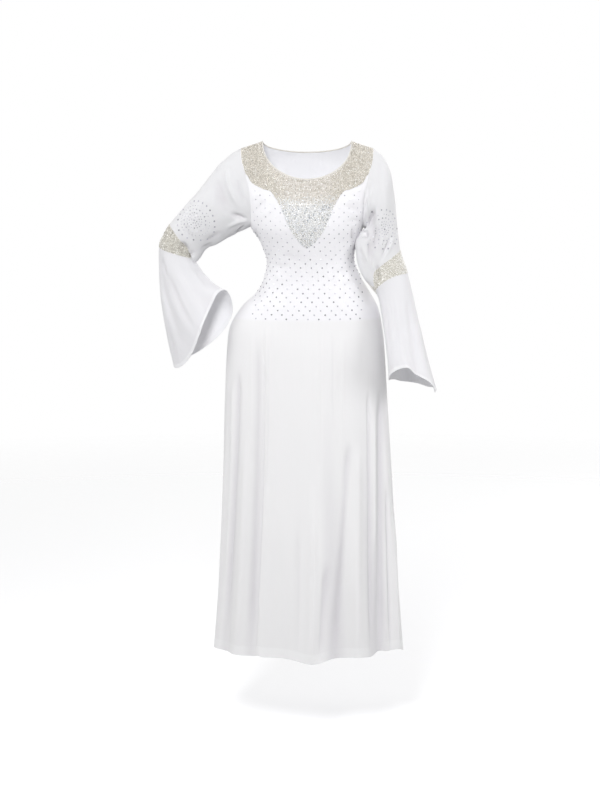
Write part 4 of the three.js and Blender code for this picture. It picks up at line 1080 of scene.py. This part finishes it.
front_tree = tree_of(front_points, False)
lattice_at, lattice_out = cast(front_tree, lattice_places(), (0, 1, 0))
rng = np.random.default_rng(77)
lower = ease(-lattice_at[:, 2], 190, 400)
lattice_tint = tint_mix(rng, len(lattice_at), GREY, (0.5, 0.3, 0.1, 0.1))
lattice_tint = np.where(rng.random((len(lower), 1)) < 0.55 * lower[:, None],
                        tint_mix(rng, len(lower), GREY, (0.25, 0.42, 0.33, 0)), lattice_tint)
lattice_stones = stones_object("bodice_stones", lattice_at, lattice_out,
                               rng.uniform(1.5, 1.8, len(lower)) + 0.5 * lower, lattice_tint, 78)


# Rings of stones round a middle one: radius, how many and the size of each stone.
MEDALLION = table("radius count stone", [
    (0, 1, 2.3), (7, 8, 1.4), (13, 13, 1.4), (19, 18, 1.4), (28, 18, 1.9), (37, 30, 1.1), (48, 22, 2.3),
])


def medallion(arm, grid, at, outwards, seed):
    """A round of stones on the sleeve above the band, where a line from the front meets the cloth."""
    tree = tree_of(grid["points"], True)
    centre = cast(tree, [(at[0], -400, at[1])], (0, 1, 0), 800)[0][0]
    way = np.array(outwards, float)
    way /= np.linalg.norm(way)
    first = np.cross(way, [0, 0, 1.0])
    first /= np.linalg.norm(first)
    second = np.cross(way, first)
    places, normals, sizes = [], [], []
    for k, ring in enumerate(rows_of(MEDALLION)):
        for turn in TAU * (np.arange(ring["count"]) + 0.5 * (k % 2)) / ring["count"]:
            origin = centre + ring["radius"] * (math.cos(turn) * first + math.sin(turn) * second) + way * 120
            place, normal = cast(tree, [origin], -way, 200)
            if len(place):
                places.append(place[0])
                normals.append(normal[0])
                sizes.append(ring["stone"])
    rng = np.random.default_rng(seed)
    tint = tint_mix(rng, len(places), GREY, (0.42, 0.32, 0.1, 0.16))
    return stones_object(f"medallion_{arm}_stones", np.array(places), np.array(normals), np.array(sizes), tint, seed)


medallion_r = medallion("r", right_grid, (-279, -188), (-0.55, -0.83, 0.1), 91)
medallion_l = medallion("l", left_grid, (190, -208), (0.6, -0.8, 0.05), 92)


# --- Stitches ---
def stitches_object(name, line, normals, pitch, length, size):
    """Short raised threads along a closed line, every pitch, as one mesh."""
    line = np.concatenate([line, line[:1]])
    normals = np.concatenate([normals, normals[:1]])
    step = np.linalg.norm(np.diff(line, axis=0), axis=-1)
    arc = np.concatenate([[0], step.cumsum()])
    at = np.arange(pitch / 2, arc[-1] - pitch / 2, pitch)

    def sample(values, where):
        return np.stack([np.interp(where, arc, values[:, k]) for k in range(3)], -1)

    start, end, out = sample(line, at - length / 2), sample(line, at + length / 2), sample(normals, at)
    out = unit(out)
    side = np.cross(unit(end - start), out)
    turn = TAU * np.arange(6) / 6
    rings = []
    for share, wide in ((0, 0.35), (0.2, 1.0), (0.8, 1.0), (1, 0.35)):
        middle = start + (end - start) * share + out * size * (0.35 if 0 < share < 1 else -0.2)
        rings.append(middle[:, None] + (side[:, None] * np.cos(turn)[None, :, None]
                                        + out[:, None] * np.sin(turn)[None, :, None]) * size * wide)
    points = np.concatenate(rings, 1)
    k = np.arange(6)
    n = (k + 1) % 6
    quads = np.concatenate([np.stack([k, n, n + 6, k + 6], -1) + 6 * ring for ring in range(3)])
    base = (np.arange(len(at)) * 24)[:, None]
    faces = (base[:, :, None] + quads[None]).reshape(-1, 4).tolist()
    faces += (base + k[::-1][None]).tolist() + (base + 18 + k[None]).tolist()
    mesh = mesh_of(name, points, faces)
    mesh.shade_smooth()
    return add_object(name, mesh, thread)


def level_line(points, normals, hem, distance):
    """The line on a grid at one distance above its last row."""
    rows = np.argmin(np.abs(hem - distance), axis=0)
    columns = np.arange(points.shape[1])
    return points[rows, columns], normals[rows, columns]


front_line, front_out = level_line(front_points, front_normals, front_hem, HEM_TURN)
back_line, back_out = level_line(back_points, back_normals, back_hem, HEM_TURN)
hem_stitches = stitches_object(
    "hem_stitches", np.concatenate([front_line, back_line[::-1]]), np.concatenate([front_out, back_out[::-1]]),
    7.0, 2.4, 0.22,
)
for arm, grid in (("r", right_grid), ("l", left_grid)):
    line, out = level_line(grid["points"], grid["normals"], grid["hem"], BELL_TURN - 1.5)
    stitches_object(f"bell_{arm}_stitches", line, out, 3.6, 2.5, 0.2)

# --- Stage, in metres ---
FLOOR, FLOOR_RADIUS, FLOOR_FADE = -1.482, 6.0, (0.5, 5.4)
LIGHTS = table("name place target size power", [
    ("key", (-0.6, -3.6, 1.15), (0, 0, -0.3), 0.9, 105),
    ("left", (-3.8, -0.5, -0.1), (0, 0, -0.4), 1.8, 20),
    ("right", (3.7, -1.1, 0.1), (0, 0, -0.5), 1.8, 40),
    ("back", (2.3, 3.7, 1.5), (0, 0, -0.5), 1.6, 60),
])
WORLD_LIGHT = 0.82
# The share of the world's light from one end of each axis to the other.
WORLD_SHARES = table("axis low high", [("Z", 0.55, 0.95), ("Y", 0.42, 1.2)])
# The camera was solved from the photo: the lens from the picture's height in pixels, and the tilt downwards.
CAMERA_PLACE, CAMERA_TILT, FOCAL_PIXELS, PHOTO_HEIGHT, SENSOR = (-0.0175, -5.730, 0.088), 7.23, 2304, 800, 36


def floor_object():
    """A pale round floor that fades out into the pale surroundings."""
    count = 128
    turns = [TAU * k / count for k in range(count)]
    ring = [(FLOOR_RADIUS * math.cos(turn), FLOOR_RADIUS * math.sin(turn), FLOOR) for turn in turns]
    mesh = bpy.data.meshes.new("floor")
    mesh.from_pydata(ring, [], [list(range(count))])
    material, nodes, links, shader = new_material("floor")
    set_inputs(shader, Base_Color=(0.93, 0.93, 0.94, 1), Roughness=0.9, Emission_Color=LIGHT_WHITE,
               Emission_Strength=0.12)
    place = nodes.new("ShaderNodeTexCoord")
    flat = nodes.new("ShaderNodeVectorMath")
    flat.operation = "MULTIPLY"
    flat.inputs[1].default_value = (1, 1, 0)
    links.new(place.outputs["Object"], flat.inputs[0])
    far = nodes.new("ShaderNodeVectorMath")
    far.operation = "LENGTH"
    links.new(flat.outputs[0], far.inputs[0])
    links.new(map_range(nodes, links, far.outputs["Value"], *FLOOR_FADE, 1, 0), shader.inputs["Alpha"])
    mesh.materials.append(material)
    made = linked("floor", mesh)
    made.visible_diffuse = False


def area_light(name, place, target, size, power):
    light = bpy.data.lights.new(name, "AREA")
    light.shape = "DISK"
    light.size = size
    light.energy = power
    made = linked(name, light)
    made.location = place
    made.rotation_euler = (Vector(target) - Vector(place)).to_track_quat("-Z", "Y").to_euler()


floor_object()
for row in rows_of(LIGHTS):
    area_light(**row)


def studio_world():
    """A white studio: white when seen directly, and it lights the garment most from above and from behind."""
    world = bpy.data.worlds.new("studio")
    bpy.context.scene.world = world
    world.use_nodes = True
    nodes, links = world.node_tree.nodes, world.node_tree.links
    seen = set_inputs(nodes["Background"], Color=LIGHT_WHITE, Strength=1.0)
    lit = node(nodes, "ShaderNodeBackground", Strength=WORLD_LIGHT)
    place = nodes.new("ShaderNodeTexCoord").outputs["Generated"]
    both = nodes.new("ShaderNodeMath")
    both.operation = "MULTIPLY"
    for socket, row in zip(both.inputs, rows_of(WORLD_SHARES)):
        axis = axis_of(nodes, links, place, row["axis"])
        links.new(map_range(nodes, links, axis, -1, 1, row["low"], row["high"]), socket)
    links.new(both.outputs["Value"], lit.inputs["Color"])
    path = nodes.new("ShaderNodeLightPath")
    mix = nodes.new("ShaderNodeMixShader")
    links.new(path.outputs["Is Camera Ray"], mix.inputs["Fac"])
    links.new(lit.outputs["Background"], mix.inputs[1])
    links.new(seen.outputs["Background"], mix.inputs[2])
    links.new(mix.outputs["Shader"], nodes["World Output"].inputs["Surface"])


studio_world()
bpy.context.scene.view_settings.view_transform = "Standard"

camera = bpy.data.cameras.new("camera")
camera.lens = FOCAL_PIXELS / PHOTO_HEIGHT * SENSOR
camera.sensor_width = SENSOR
camera_object = linked("camera", camera)
camera_object.location = CAMERA_PLACE
camera_object.rotation_euler = (math.radians(90 - CAMERA_TILT), 0, 0)
bpy.context.scene.camera = camera_object
